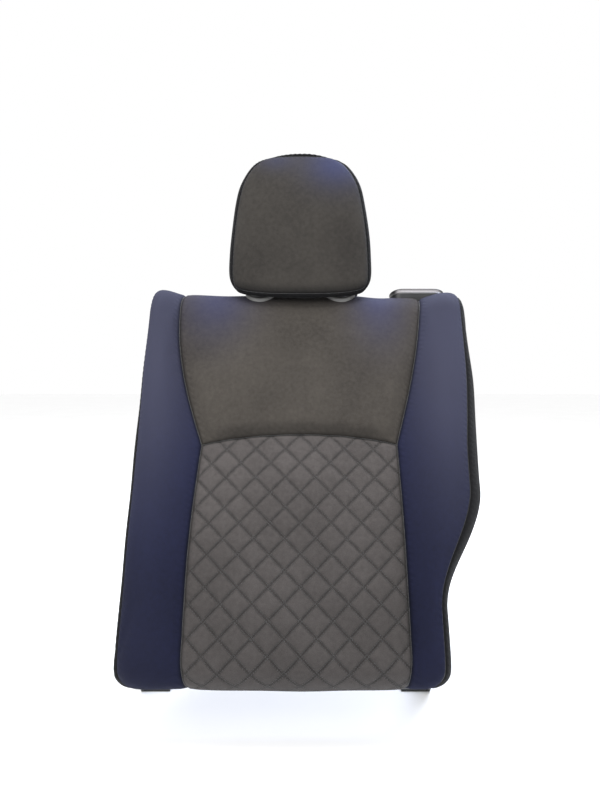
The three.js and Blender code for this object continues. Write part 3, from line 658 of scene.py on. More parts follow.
def quilt_stitches(surface):
    """One short thread in each stitch, pulled into the cover."""
    def inside(x, s):
        h = float(height_at(s))
        low = -ROUND_LOW * 0.2
        return low < s < WAIST + arc_rise(x) - 2.5 and left_seam(h) + 2.5 < x < right_seam(h) - 2.5

    tree = BVHTree.FromObject(surface, bpy.context.evaluated_depsgraph_get())
    forward = Vector(turned([0.0, 1.0, 0.0]))
    length, girth = 1.3, 0.6
    shape = [(-length, 0.2), (-0.6 * length, girth), (0.6 * length, girth), (length, 0.2)]
    sides = 6
    thread = ring_faces(len(shape), sides) + close_ends(len(shape), sides)
    points, faces = [], []
    for x, s, lean in stitch_places(inside):
        h = float(height_at(s))
        level = PAD_BOTTOM + h
        start = Vector(place([x, -160.0 + rounding(h, ROUND_LOW, ROUND_TOP), level]))
        hit, normal, _, _ = tree.ray_cast(start, forward)
        if hit is None:
            continue
        middle = unplace(hit)
        out = unplace(np.array(normal) * MM + PIVOT)
        along = np.array([1.0, 0.0, float(lean)])
        along -= out * (along @ out)
        along /= np.linalg.norm(along)
        side = np.cross(out, along)
        first = len(points)
        for run, radius in shape:
            for k in range(sides):
                turn = 2 * math.pi * k / sides
                sunk = 0.1 - 0.35 * (run / length) ** 2
                up = out * (radius * math.sin(turn) + sunk)
                points.append(middle + along * run + side * radius * math.cos(turn) + up)
        faces += [tuple(first + k for k in face) for face in thread]
    return build("quilt_stitching", np.array(points), faces)


# ---------------------------------------------------------------- finished pad
ROD_LEAN = math.radians(12)
ROD_UP = np.array([0.0, -math.sin(ROD_LEAN), math.cos(ROD_LEAN)])
ROD_FOOT = np.array([0.0, -47.0, 551.0])
HEAD_X = -11.5
ROD_SPACING = 135.0
GUIDE_X = [HEAD_X - ROD_SPACING / 2, HEAD_X + ROD_SPACING / 2]
BUTTON_X, BUTTON_Y = 190.5, -38.0
BEZEL_LENGTH, BEZEL_DEPTH = 94.0, 42.0
LATCH_Y, LATCH_Z = -14.0, 440.0
# levels and sides where the covers are cut open, and the sizes of the openings
TOP_ZONE, SIDE_ZONE = 500.0, 235.0
GUIDE_HOLE, LATCH_SLOT = 7.3, 7.2


def make_pad():
    shell, pinned = pad_shell()
    inflate(shell, pinned, 4.0, 5.0)
    subdivide(shell, 2)
    p, quads, owners = points_of(shell), quads_of(shell), owners_of(shell)
    normals = normals_of(shell)
    h = p[:, 2] - PAD_BOTTOM
    edges, side_a, side_b = seam_points(quads, owners)
    seam_ids = np.unique(edges)
    to_seam = nearness(p, p[seam_ids])

    quilted = np.zeros(len(p))
    quilted[np.unique(quads[owners == 3])] = 1
    upper = np.zeros(len(p))
    upper[np.unique(quads[owners == 2])] = 1
    fade = np.clip(to_seam / 7, 0, 1) ** 0.8
    puff = quilted * (quilt_puff(p) * lerp(0.35, 1, fade)) * QUILT_PUFF
    puff *= smoothstep(h, 2, 30)

    above_arc = h - WAIST - arc_rise(p[:, 0])
    roll = upper * ARC_ROLL * np.sqrt(smoothstep(above_arc, -2, 26)) * (1 - smoothstep(above_arc, 60, 230))
    roll *= smoothstep(p[:, 0] - left_seam(h), 0, 26) * smoothstep(right_seam(h) - p[:, 0], 0, 26)

    pucker = 0.35 * bell(to_seam - 5, 5) * np.sin(2 * np.pi * (p[:, 2] + 0.6 * p[:, 0]) / 9.5)
    soft = 0.7 * np.sin(p[:, 0] / 31 + p[:, 2] / 47) * np.sin(p[:, 2] / 38 - p[:, 0] / 53)
    groove = 2.6 * bell(to_seam, 2.6) + 1.2 * bell(to_seam, 8)
    rear = smoothstep(p[:, 1], -8, -1)
    out = (puff + roll + (pucker + soft) * np.clip(to_seam / 6, 0, 1) - groove) * (1 - rear)
    p = p + normals * out[:, None]
    swell = smoothstep(np.abs(p[:, 0]), 130, 225) * (1 - smoothstep(p[:, 1], -62, -24))
    p[:, 0] += SIDE_SWELL * np.sign(p[:, 0]) * swell
    p[:, 2] -= RIGHT_DROP * smoothstep(p[:, 0], 60, 135) * smoothstep(h, 560, 612) * (1 - rear)
    room = 0.5 + 6 * smoothstep(h, 80, 190)
    p[:, 0] = np.clip(p[:, 0], -HALF_WIDTH - room, right_edge(h) + room)
    move_points(shell, p)

    # Painted shadow: a dark band just above the arc seam, under the roll.
    roll_shadow = smoothstep(above_arc, -1, 4) * (1 - smoothstep(above_arc, 9, 25))
    roll_shadow *= upper * smoothstep(p[:, 0] - left_seam(h), 4, 55) * smoothstep(right_seam(h) - p[:, 0], 4, 55)

    runs = seam_runs(edges, owners[side_a], owners[side_b])
    # Painted highlight: the bolsters' forward-facing crests are paled, less towards the bottom.
    lit_crest = smoothstep(np.abs(p[:, 0] + 12), 120, 225) * smoothstep(normals[:, 1], 0.2, -0.75)
    lit_crest *= lerp(0.15, 1, smoothstep(h, 120, 480))
    # Painted shade: the lower part is darkened, fading out by 380 mm up.
    low = 1 - smoothstep(h, 20, 380)
    # Painted bluish sheen: soft patches near the upper insert's top corners.
    corner_glow = patch(p[:, 0], h, (-150, 600), (55, 75)) + patch(p[:, 0], h, (118, 600), (42, 80))
    # Painted shade along the quilting lines.
    quilt_line_shade = 1 - np.minimum(*[
        np.clip(np.abs(f - np.round(f)) * QUILT_GAP / 3.0, 0, 1) for f in quilt_phases(p[:, 0], along_front(h))
    ])
    paints = {
        # Painted shade in the seam grooves.
        "seam": bell(to_seam, 2.2),
        # Painted shade: the shadow above the arc seam, the darker lower part and the quilting lines.
        "seams_and_painted_shade": 0.7 * roll_shadow + 0.65 * low + quilted * 0.6 * quilt_line_shade,
        "crest_highlight": lit_crest,
        "painted_sheen": upper * corner_glow,
    }

    centres = p[quads].mean(axis=1)
    x, y, z = centres.T
    cut = in_stadium(x, y, 2.2) & (z > TOP_ZONE)
    for guide in GUIDE_X:
        offset = centres - (ROD_FOOT + [guide, 0, 0])
        away = np.linalg.norm(offset - (offset @ ROD_UP)[:, None] * ROD_UP, axis=1)
        cut |= (away < GUIDE_HOLE) & (z > TOP_ZONE)
    cut |= (x > SIDE_ZONE) & (np.abs(z - LATCH_Z) < LATCH_SLOT) & (y > LATCH_Y - LATCH_SLOT)
    pieces = split(shell, COVERS, paints, pad_weave(p), cut)
    over_bezel = in_stadium(p[:, 0], p[:, 1]) & (p[:, 2] > TOP_ZONE)
    threads = []
    for run in runs:
        hidden = over_bezel[run]
        for stretch in np.split(run, np.flatnonzero(hidden[1:] != hidden[:-1]) + 1):
            if len(stretch) > 3 and not over_bezel[stretch[0]]:
                threads.append(tube(p[stretch] + 0.25 * normals[stretch], 0.55, 6))
    pieces["seam_thread"] = build("cover_seam_thread", *merge(threads))
    pieces["stitches"] = quilt_stitches(pieces["quilted_insert"])
    return pieces


# ---------------------------------------------------------------- head restraint, in its own leaning frame
HEAD_LEAN = math.radians(20)
HEAD_AT = np.array([HEAD_X, -101.0, 508.0])
HEAD_CENTRE = 51.0
HEAD_OUTLINE = [(109, 0), (121, 28), (120, 101), (111, 174), (99, 216), (73, 248), (24, 260)]
HEAD_SEAM = 6.0
HEAD_SLACK = 1.2
HEAD_SEAM_LOW, HEAD_SEAM_HIGH, REAR_SEAM_LOW = 13.0, 254.0, 50.0
FACE, SIDE = 56, 16
HEAD_COVERS = ["headrest_front", "headrest_rear", "headrest_band"]


def spline(points, steps=40):
    """A smooth line through the points."""
    pts = np.array([points[0]] + list(points) + [points[-1]], float)
    made = []
    for i in range(1, len(pts) - 2):
        before, a, b, after = pts[i - 1], pts[i], pts[i + 1], pts[i + 2]
        for t in np.linspace(0, 1, steps, endpoint=False):
            bend = (2 * a + (b - before) * t + (2 * before - 5 * a + 4 * b - after) * t**2
                    + (3 * a - before - 3 * b + after) * t**3)
            made.append(bend / 2)
    made.append(pts[-2])
    return np.array(made)


HEAD_LINE = spline(HEAD_OUTLINE)


def head_half_width(level):
    return np.interp(level, HEAD_LINE[:, 1], HEAD_LINE[:, 0]) - HEAD_SLACK


def head_half_depth(level):
    low = 47.5 - 14 * np.clip((12 - level) / 12, 0, 1) ** 2
    return low - 31 * np.clip((level - 130) / 130, 0, 1) ** 2.4 - HEAD_SLACK


def oval(share):
    """The other side of a level section, whose corners are drawn out towards a rectangle."""
    cosine = np.clip(np.abs(share), 0, 1) ** (1 / 0.72)
    return np.sqrt(np.clip(1 - cosine**2, 0, 1)) ** 0.72


def head_ring(level, scale=1.0):
    """One closed level row: front face, right side, rear face, left side."""
    half_width, half_depth = head_half_width(level), head_half_depth(level)
    seam = (half_width - HEAD_SEAM) / half_width
    depth = oval(seam)
    face = np.linspace(-seam, seam, FACE + 1)[:-1]
    side = np.sin(np.linspace(-math.pi / 2, math.pi / 2, SIDE + 1))[:-1] * depth
    across = np.concatenate([face, oval(side), -face, -oval(side)])
    deep = np.concatenate([-oval(face), side, oval(face), -side])
    x = half_width * across * scale
    n = HEAD_CENTRE + half_depth * deep * scale
    slant = 0.66 * (1 - smoothstep(level, 0, 90))
    return np.stack([x, n, level + slant * n], axis=-1)


def head_place(p):
    """Head restraint frame (across, depth, level) to the backrest's frame."""
    x, n, level = np.asarray(p, float).T
    y = n * math.cos(HEAD_LEAN) - level * math.sin(HEAD_LEAN)
    z = n * math.sin(HEAD_LEAN) + level * math.cos(HEAD_LEAN)
    return HEAD_AT + np.stack([x, y, z], axis=-1)


def head_unplace(p):
    x, y, z = (np.asarray(p, float) - HEAD_AT).T
    return np.stack([
        x, y * math.cos(HEAD_LEAN) + z * math.sin(HEAD_LEAN), z * math.cos(HEAD_LEAN) - y * math.sin(HEAD_LEAN),
    ], axis=-1)


def make_head():
    levels = [0, 1.5, 4, 8, HEAD_SEAM_LOW, 18, 24, 31, 40, REAR_SEAM_LOW]
    levels += list(np.linspace(REAR_SEAM_LOW, 216, 33)[1:])
    levels += [221, 226, 231, 236, 240, 243.5, 246.5, 249, 251.5, HEAD_SEAM_HIGH, 256.5, 258.5]
    rings = [head_ring(0, s) - [0, 0, 2.4 * (1 - s**2)] for s in (0.12, 0.3, 0.5, 0.68, 0.83, 0.94)]
    low = len(rings)
    rings += [head_ring(level) for level in levels]
    rings += [head_ring(258.5, s) + [0, 0, 2.2 * (1 - s**2)] for s in (0.8, 0.6, 0.4, 0.2)]
    count = len(rings[0])
    owners, quads = [], ring_faces(len(rings), count)
    for i in range(len(rings) - 1):
        level = levels[i - low] if low <= i < low + len(levels) - 1 else -1
        for j in range(count):
            front = j < FACE and HEAD_SEAM_LOW <= level < HEAD_SEAM_HIGH
            rear = FACE + SIDE <= j < 2 * FACE + SIDE and REAR_SEAM_LOW <= level < HEAD_SEAM_HIGH
            owners.append(0 if front else 1 if rear else 2)
    points = np.concatenate(rings)
    quads += close_ends(len(rings), count)
    owners += [2, 2]
    shell = build("head_shell", head_place(points), quads, owners)
    seams = set()
    lines = {FACE + SIDE, 2 * FACE + SIDE, 0, FACE}
    for i, level in enumerate(levels):
        if HEAD_SEAM_LOW <= level <= HEAD_SEAM_HIGH:
            seams |= {(low + i) * count + j for j in lines}
        if level in (HEAD_SEAM_LOW, HEAD_SEAM_HIGH):
            seams |= {(low + i) * count + j for j in range(FACE + 1)}
        if level in (REAR_SEAM_LOW, HEAD_SEAM_HIGH):
            seams |= {(low + i) * count + FACE + SIDE + j for j in range(FACE + 1)}
    base_ring = set(range(low * count))
    inflate(shell, sorted(seams | base_ring), 4.0, 3.0)
    subdivide(shell, 2)

    p, quads, owners = points_of(shell), quads_of(shell), owners_of(shell)
    normals = normals_of(shell)
    edges, side_a, side_b = seam_points(quads, owners)
    to_seam = nearness(p, p[np.unique(edges)])
    local = head_unplace(p)
    soft = 0.5 * np.sin(local[:, 0] / 23 + local[:, 2] / 35) * np.sin(local[:, 2] / 29 - local[:, 0] / 41)
    pucker = 0.3 * bell(to_seam - 4.5, 4) * np.sin(2 * np.pi * (local[:, 2] + local[:, 0]) / 8)
    groove = 1.9 * bell(to_seam, 2.2) + 0.8 * bell(to_seam, 7)
    p = p + normals * ((soft + pucker) * np.clip(to_seam / 6, 0, 1) - groove)[:, None]
    move_points(shell, p)
    across, deep, level = local.T
    # Painted bluish sheen: soft spots on the headrest's upper front.
    glow = patch(across, level, (58, 238), (48, 42)) + 0.45 * patch(across, level, (-40, 246), (30, 22))
    paints = {
        # Painted shade in the seam grooves.
        "seam": bell(to_seam, 1.8),
        # Painted shade on the headrest's underside, darkest at the bottom.
        "seams_and_painted_shade": 1.6 * (1 - smoothstep(level - 0.6 * deep, 12, 34)),
        "painted_sheen": glow * smoothstep(-deep, -60, -30),
    }
    outer = 0.7 * deep * np.sign(across) * smoothstep(np.abs(across), 90, 120)
    weave = MM * np.stack([across + outer, level], axis=-1)
    runs = seam_runs(edges, owners[side_a], owners[side_b])
    pieces = split(shell, HEAD_COVERS, paints, weave)
    threads = [tube(p[run] + 0.2 * normals[run], 0.5, 6) for run in runs]
    pieces["seam_thread"] = build("headrest_seam_thread", *merge(threads))
    return pieces


# ---------------------------------------------------------------- fittings
def lathe(profile, centre, axis, sides=48, start=(1.0, 0.0, 0.0)):
    """A turned shape: profile pairs are (radius, run along the axis)."""
    axis = np.asarray(axis, float)
    side = np.asarray(start, float) - axis * (np.asarray(start, float) @ axis)
    side /= np.linalg.norm(side)
    up = np.cross(axis, side)
    points = []
    for radius, run in profile:
        for k in range(sides):
            turn = 2 * math.pi * k / sides
            out = math.cos(turn) * side + math.sin(turn) * up
            points.append(np.asarray(centre) + axis * run + radius * out)
    return np.array(points), ring_faces(len(profile), sides)


def block(low, high):
    (x0, y0, z0), (x1, y1, z1) = low, high
    points = [(x, y, z) for x in (x0, x1) for y in (y0, y1) for z in (z0, z1)]
    faces = [(0, 1, 3, 2), (4, 6, 7, 5), (0, 4, 5, 1), (2, 3, 7, 6), (0, 2, 6, 4), (1, 5, 7, 3)]
    return np.array(points, float), faces


TOP_AXIS = np.array([0.0, ROUND_TOP - 80 - 4, PAD_BOTTOM + PAD_HEIGHT - ROUND_TOP])
COLLAR_TURN = math.radians(38)
COLLAR_OUT = np.array([0.0, -math.sin(COLLAR_TURN), math.cos(COLLAR_TURN)])
COLLAR_ALONG = np.array([0.0, math.cos(COLLAR_TURN), math.sin(COLLAR_TURN)])
COLLAR_HALF = (25.0, 27.0)
COLLAR_SIDES = 64
COLLAR_RIM = 4
# share of the collar's half size, and height above the pad
COLLAR_PROFILE = [
    (1.0, -1.5), (1.0, 2.6), (0.985, 3.7), (0.94, 4.5), (0.88, 4.7), (0.82, 4.3), (0.775, 3.2),
    (0.74, 1.6), (0.7, 0.9), (0.55, 0.7), (0.32, 0.6), (0.1, 0.6),
]


SHANK_LOW = -104
SHANK_PROFILE = [
    (6.5, SHANK_LOW), (8.2, SHANK_LOW), (8.2, 2.2), (7.9, 3.2), (7.2, 3.6), (6.5, 3.2), (6.35, 2.2), (6.35, SHANK_LOW),
]


def collar(x):
    """Flange that follows the rounded top of the pad, dished round the rod."""
    sides = COLLAR_SIDES
    points = []
    for share, height in COLLAR_PROFILE:
        for k in range(sides):
            turn = 2 * math.pi * k / sides
            across, along = COLLAR_HALF[0] * share * math.cos(turn), COLLAR_HALF[1] * share * math.sin(turn)
            rise = math.sqrt((ROUND_TOP + height) ** 2 - along**2)
            points.append(TOP_AXIS + [x + across, 0, 0] + COLLAR_ALONG * along + COLLAR_OUT * rise)
    faces = ring_faces(len(COLLAR_PROFILE), sides)
    faces.append(close_ends(len(COLLAR_PROFILE), sides)[1])
    return np.array(points), faces


def make_guides():
    made = []
    for name, x in zip(("left_guide_collar", "right_guide_collar"), GUIDE_X):
        foot = ROD_FOOT + [x, 0, 0]
        parts = [collar(x), lathe(SHANK_PROFILE, foot, ROD_UP)]
        if x > HEAD_X:
            y, z = TOP_AXIS[1] - 14, TOP_AXIS[2] + 60.5
            parts += [
                block((x + 13, y - 7, z), (x + 27, y + 7, z + 1.7)),
                block((x + 13, y - 7, z + 6.3), (x + 27, y + 7, z + 8)),
                block((x + 13, y - 7, z + 1.7), (x + 27, y - 4.3, z + 6.3)),
                block((x + 13, y + 4.3, z + 1.7), (x + 27, y + 7, z + 6.3)),
            ]
        piece = build(name, *merge(parts))
        # Painted shade: the dish inside the rim is painted near-black.
        dish_shade = np.zeros(len(piece.data.vertices))
        dish_shade[COLLAR_RIM * COLLAR_SIDES:len(COLLAR_PROFILE) * COLLAR_SIDES] = 1
        paint(piece, band=dish_shade)
        bevel(piece, 0.5, 2)
        made.append(piece)
    return made


ROD_RADIUS = 6.0
ROD_TOP, ROD_LOW, ROD_CORNER = 128.0, -128.0, 18.0
NOTCHES = (-15.0, -35.0, -55.0)


def make_rod():
    """The bent rod of the head restraint, with the lock's notches in its right leg."""
    half = ROD_SPACING / 2
    bend_at, bend_top = half - ROD_CORNER, ROD_TOP - ROD_CORNER
    route = []
    for run in np.arange(ROD_LOW, ROD_TOP - ROD_CORNER, 1.0):
        route.append((-half, run))
    for middle, start, end in ((-bend_at, math.pi, math.pi / 2), (bend_at, math.pi / 2, 0)):
        for turn in np.linspace(start, end, 13):
            route.append((middle + ROD_CORNER * math.cos(turn), bend_top + ROD_CORNER * math.sin(turn)))
    for run in np.arange(ROD_TOP - ROD_CORNER - 1, ROD_LOW - 0.5, -1.0):
        route.append((half, run))
    route = np.array(route)
    dip = np.zeros(len(route))
    for notch in NOTCHES:
        dip += bell(route[:, 1] - notch, 2.2) * (route[:, 0] > 0)
    ends = np.minimum(route[:, 1] - ROD_LOW, 2.0)
    radii = ROD_RADIUS - 1.3 * np.clip(dip, 0, 1) - 0.5 * (2 - ends)
    path = ROD_FOOT + [HEAD_X, 0, 0] + route[:, 0:1] * [1.0, 0, 0] + route[:, 1:2] * ROD_UP
    return build("headrest_rods", *tube(path, radii, 24))


def stadium(half_length, half_depth, steps=20):
    run = half_length - half_depth
    turns = np.linspace(-math.pi / 2, math.pi / 2, steps + 1)
    right = [(run + half_depth * math.cos(t), half_depth * math.sin(t)) for t in turns]
    flat = [(x, half_depth) for x in np.linspace(run, -run, 17)[1:-1]]
    left = [(-x, -y) for x, y in right]
    return np.array(right + flat + left + [(-x, -y) for x, y in flat])


def stadium_loft(profile, closed=False):
    """profile pairs are (inset from the bezel's outline, level)."""
    points = []
    for inset, level in profile:
        outline = stadium(BEZEL_LENGTH / 2 - inset, BEZEL_DEPTH / 2 - inset) + [BUTTON_X, BUTTON_Y]
        points.append(np.column_stack([outline, np.full(len(outline), level)]))
    sides = len(points[0])
    faces = ring_faces(len(profile), sides, closed)
    return np.concatenate(points), faces, sides


BEZEL_PROFILE = [
    (0.0, 527), (-0.2, 546), (-0.9, 548.5), (-1.3, 550.7), (-0.9, 552.5), (0.1, 553.3), (0.35, 553.9),
    (0.35, 557.9), (0.1, 558.5), (-0.2, 559.1), (-0.1, 560.0), (0.6, 560.6), (1.6, 560.7), (2.6, 560.4),
    (3.6, 559.3), (4.3, 557.7), (4.5, 555), (4.5, 530), (14, 529.8), (14, 527),
]
BUTTON_PROFILE = [
    (13, 543), (5.2, 543), (5.0, 545), (5.0, 554.3), (5.3, 555.5), (6.2, 556.4), (7.6, 556.7), (9.5, 556.6),
    (12, 555.6), (15, 554.6), (18, 554.2),
]


def make_release():
    points, faces, sides = stadium_loft(BEZEL_PROFILE, closed=True)
    bezel = build("release_surround", points, faces)
    rings = len(BEZEL_PROFILE)
    band = np.zeros(rings)
    band[5:9] = 1
    front = smoothstep(BUTTON_Y - points[:, 1], 12, 19)
    front *= 1 - smoothstep(np.abs(points[:, 0] - BUTTON_X), 34, 43)
    paint(bezel, band=np.repeat(band, sides) * front)
    points, faces, sides = stadium_loft(BUTTON_PROFILE)
    faces += close_ends(len(BUTTON_PROFILE), sides)
    button = build("release_push_button", points, faces)
    return bezel, button


def make_grommets():
    """Plastic rings where the pivot bolts enter the cover."""
    profile = [(6.2, -4), (6.2, 1.6), (7.2, 2.4), (12, 2.4), (15.5, 1.7), (17.5, 0.4), (18, -1.2), (17.2, -4)]
    places = (("centre_pivot_grommet", -HALF_WIDTH, -1.0), ("outboard_pivot_grommet", right_edge(-PAD_BOTTOM), 1.0))
    return [build(name, *lathe(profile, (x, 0, 0), (side, 0, 0), start=(0, 1, 0))) for name, x, side in places]


def make_latch_shroud():
    """Moulded pocket round the latch, open where the striker comes in."""
    y0, y1, z0, z1 = LATCH_Y - 52, PAD_REAR - 0.5, LATCH_Z - 27, LATCH_Z + 43
    slot = 8.0
    walls = [
        block((241.2, y0, z0), (242.2, y1, z1 - 14)),
        block((241.2, y0, z0), (256.6, y0 + 1, z1)),
        block((241.2, y0, z0), (256.6, y1, z0 + 1)),
        block((255.6, y0, z0), (256.6, y1, LATCH_Z - slot)),
        block((255.6, y0, LATCH_Z + slot), (256.6, y1, z1)),
        block((255.6, y0, LATCH_Z - slot), (256.6, LATCH_Y - slot, LATCH_Z + slot)),
    ]
    rim = []
    corners = [(PAD_REAR + 0.3, -slot), (LATCH_Y, -slot)]
    corners += [(LATCH_Y - slot * math.sin(t), -slot * math.cos(t)) for t in np.linspace(0, math.pi, 17)[1:-1]]
    corners += [(LATCH_Y, slot), (PAD_REAR + 0.3, slot)]
    middle = np.array([(LATCH_Y, 0.0)] * len(corners))
    corners = np.array(corners)
    away = corners - middle
    away[:, 0] = np.minimum(away[:, 0], 0)
    away /= np.linalg.norm(away, axis=1, keepdims=True)
    profile = [(0.4, 255.8), (0.2, 258.6), (0.2, 260.3), (0.8, 261.1), (2.6, 261.1), (3.4, 260.3), (3.4, 257.0)]
    for offset, x in profile:
        place_at = corners + away * (offset - 0.8)
        rim.append(np.column_stack([np.full(len(corners), x), place_at[:, 0], LATCH_Z + place_at[:, 1]]))
    count = len(corners)
    faces = []
    for i in range(len(profile)):
        j = (i + 1) % len(profile)
        for k in range(count - 1):
            faces.append((i * count + k, i * count + k + 1, j * count + k + 1, j * count + k))
    faces.append(tuple(i * count for i in range(len(profile))))
    faces.append(tuple(i * count + count - 1 for i in range(len(profile)))[::-1])
    return build("latch_shroud", *merge(walls + [(np.concatenate(rim), faces)]))


def board_outline(inset, radius):
    """The rear board's edge, anticlockwise from its lower left corner as seen from the front."""
    parts = np.linspace(5, 30, 10)[:-1], np.linspace(30, 580, 56), np.linspace(580, 612, 14)[1:]
    heights = np.concatenate(parts)
    right, left = [], []
    for h in heights:
        low, top = np.clip(5 + radius - h, 0, radius), np.clip(h - (612 - radius), 0, radius)
        retreat = 2 * radius - math.sqrt(radius**2 - low**2) - math.sqrt(radius**2 - top**2)
        right.append((float(right_edge(h)) - 4 - inset - retreat, h))
        left.append((-HALF_WIDTH + 4 + inset + retreat, h))
    mid = 308.5
    outline = np.array(right + left[::-1])
    outline[:, 1] = mid + (outline[:, 1] - mid) * (1 - inset / mid)
    return outline


def make_board():
    """The carpeted board on the back: rounded edge, and a shallow moulded recess all round."""
    layers = [
        (1.2, 3.0), (0.0, 3.6), (0.0, 5.6), (0.4, 6.6), (1.4, 7.3), (3.0, 7.5),
        (20, 7.5), (22, 7.1), (24.5, 7.1), (26.5, 7.5), (34, 7.5),
    ]
    points = []
    for inset, y in layers:
        outline = board_outline(inset, 22.0)
        points.append(np.column_stack([outline[:, 0], np.full(len(outline), y), PAD_BOTTOM + outline[:, 1]]))
    sides = len(points[0])
    faces = [tuple(reversed(face)) for face in ring_faces(len(layers), sides)]
    half = sides // 2
    last = (len(layers) - 1) * sides
    for base, flip in ((last, True), (0, False)):
        for k in range(half - 1):
            quad = (base + k, base + k + 1, base + sides - 2 - k, base + sides - 1 - k)
            faces.append(quad if flip else quad[::-1])
    return build("rear_carpet_board", np.concatenate(points), faces)


# ---------------------------------------------------------------- materials
def tone(red, green, blue):
    """A display colour, 0 to 255, as linear light."""
    linear = [((c / 255 + 0.055) / 1.055) ** 2.4 if c > 10 else c / 255 / 12.92 for c in (red, green, blue)]
    return tuple(linear) + (1.0,)


class Shader:
    """Writes a node tree round a Principled shader."""

    def __init__(self, name, **settings):
        self.material = bpy.data.materials.new(name)
        self.material.use_nodes = True
        self.tree = self.material.node_tree
        self.bsdf = self.tree.nodes["Principled BSDF"]
        for key, value in settings.items():
            self.bsdf.inputs[key.replace("_", " ")].default_value = value

    def node(self, kind, inputs=(), **settings):
        node = self.tree.nodes.new("ShaderNode" + kind)
        for key, value in settings.items():
            setattr(node, key, value)
        for key, value in dict(inputs).items():
            self.plug(node.inputs[key], value)
        return node

    def plug(self, socket, value):
        if isinstance(value, bpy.types.NodeSocket):
            self.tree.links.new(value, socket)
        else:
            socket.default_value = value

    def math(self, operation, a, b=0.0, clamp=False):
        return self.node("Math", {0: a, 1: b}, operation=operation, use_clamp=clamp).outputs[0]

    def times(self, a, b, clamp=False):
        return self.math("MULTIPLY", a, b, clamp)

    def plus(self, a, b, clamp=False):
        return self.math("ADD", a, b, clamp)

    def here(self):
        """Place in the object, in metres."""
        return self.node("TexCoord").outputs["Object"]

    def layer(self, name):
        return self.node("Attribute", attribute_name=name).outputs["Fac"]

    def mix(self, share, a, b):
        node = self.node("Mix", data_type="RGBA")
        self.plug(node.inputs[0], share)
        self.plug(node.inputs[6], a)
        self.plug(node.inputs[7], b)
        return node.outputs[2]

    def noise(self, vector, scale, detail=3.0, roughness=0.55):
        node = self.node("TexNoise", {"Vector": vector, "Scale": scale, "Detail": detail, "Roughness": roughness})
        return node.outputs["Fac"]

    def spread(self, value, low, high):
        """Stretches the middle of a noise to 0 and 1."""
        return self.node("MapRange", {"Value": value, "From Min": low, "From Max": high}).outputs["Result"]

    def cloud(self, vector, scale, detail=3.0, roughness=0.55):
        return self.spread(self.noise(vector, scale, detail, roughness), 0.3, 0.7)

    def bump(self, height, distance, strength=1.0):
        node = self.node("Bump", {"Height": height, "Distance": distance, "Strength": strength})
        self.plug(self.bsdf.inputs["Normal"], node.outputs["Normal"])

    def finish(self, colour, roughness=None):
        self.plug(self.bsdf.inputs["Base Color"], colour)
        if roughness is not None:
            self.plug(self.bsdf.inputs["Roughness"], roughness)
        return self.material


def woven(name, dark, light, shade_colour, pitch, twill, crest=None, painted_sheen=None, depth=0.00035, **settings):
    """Seat fabric: threads, knit grain, soft blotches, painted shade darkening seams, folds and low parts, a painted
    highlight paling crests, and painted bluish sheen.
    """
    s = Shader(name, **settings)
    uv = s.node("UVMap", uv_map="weave").outputs["UV"]
    place_in = s.here()
    axes = s.node("SeparateXYZ", {0: uv}).outputs
    rate = 2 * math.pi / pitch
    warp = s.times(axes[0], rate)
    weft = s.times(axes[1], rate)
    if twill:
        rib = s.math("SINE", s.plus(warp, weft))
        cross = s.math("SINE", s.times(s.math("SUBTRACT", warp, weft), 2.0))
        threads = s.plus(s.times(rib, 0.36), s.times(cross, 0.14))
    else:
        threads = s.times(s.times(s.math("SINE", warp), s.math("SINE", weft)), 0.5)
    grain = s.cloud(uv, 900.0, 2.0)
    blotch = s.cloud(place_in, 9.0, 4.0)
    fibre = s.cloud(place_in, 160.0, 3.0)
    level = s.plus(s.times(threads, 0.45), s.times(grain, 0.42))
    level = s.plus(level, s.times(blotch, 0.34))
    level = s.plus(level, s.times(fibre, 0.24), clamp=True)
    colour = s.mix(level, dark, light)
    if crest:
        # Painted highlight: the crest colour paints light on the bolsters' crests.
        colour = s.mix(s.times(s.layer("crest_highlight"), 0.75), colour, crest)
    # Painted bluish sheen patches are mixed in here.
    if painted_sheen:
        colour = s.mix(s.times(s.layer("painted_sheen"), 0.55), colour, painted_sheen)
    # Painted shade mixed in: folds, low parts, quilting lines and the headrest's underside, then the seam grooves.
    colour = s.mix(s.times(s.layer("seams_and_painted_shade"), 0.5, clamp=True), colour, shade_colour)
    colour = s.mix(s.times(s.layer("seam"), 0.85), colour, shade_colour)
    height = s.plus(s.times(threads, 0.7), s.times(grain, 0.5))
    s.bump(height, depth, 0.8)
    return s.finish(colour, s.plus(s.times(grain, 0.12), 0.8))


def thread_material(name, colour):
    s = Shader(name, Sheen_Weight=0.3, Sheen_Roughness=0.4)
    place_in = s.here()
    grain = s.cloud(place_in, 1400.0, 2.0)
    paler = tuple(min(1.0, c * 2.4 + 0.01) for c in colour[:3]) + (1.0,)
    s.bump(grain, 0.0002)
    return s.finish(s.mix(grain, colour, paler), s.plus(s.times(grain, 0.2), 0.6))


def moulded(name, dark, light, roughness, grain_scale=900.0, band=None):
    """Grained plastic, a little paler and glossier where it is handled."""
    s = Shader(name)
    place_in = s.here()
    grain = s.node("TexVoronoi", {"Vector": place_in, "Scale": grain_scale}).outputs["Distance"]
    cloud = s.cloud(place_in, 25.0, 4.0)
    colour = s.mix(s.times(cloud, 0.7), dark, light)
    if band:
        colour = s.mix(s.layer("band"), colour, band)
    s.bump(grain, 0.00012, 0.6)
    return s.finish(colour, s.plus(s.times(cloud, 0.14), roughness))


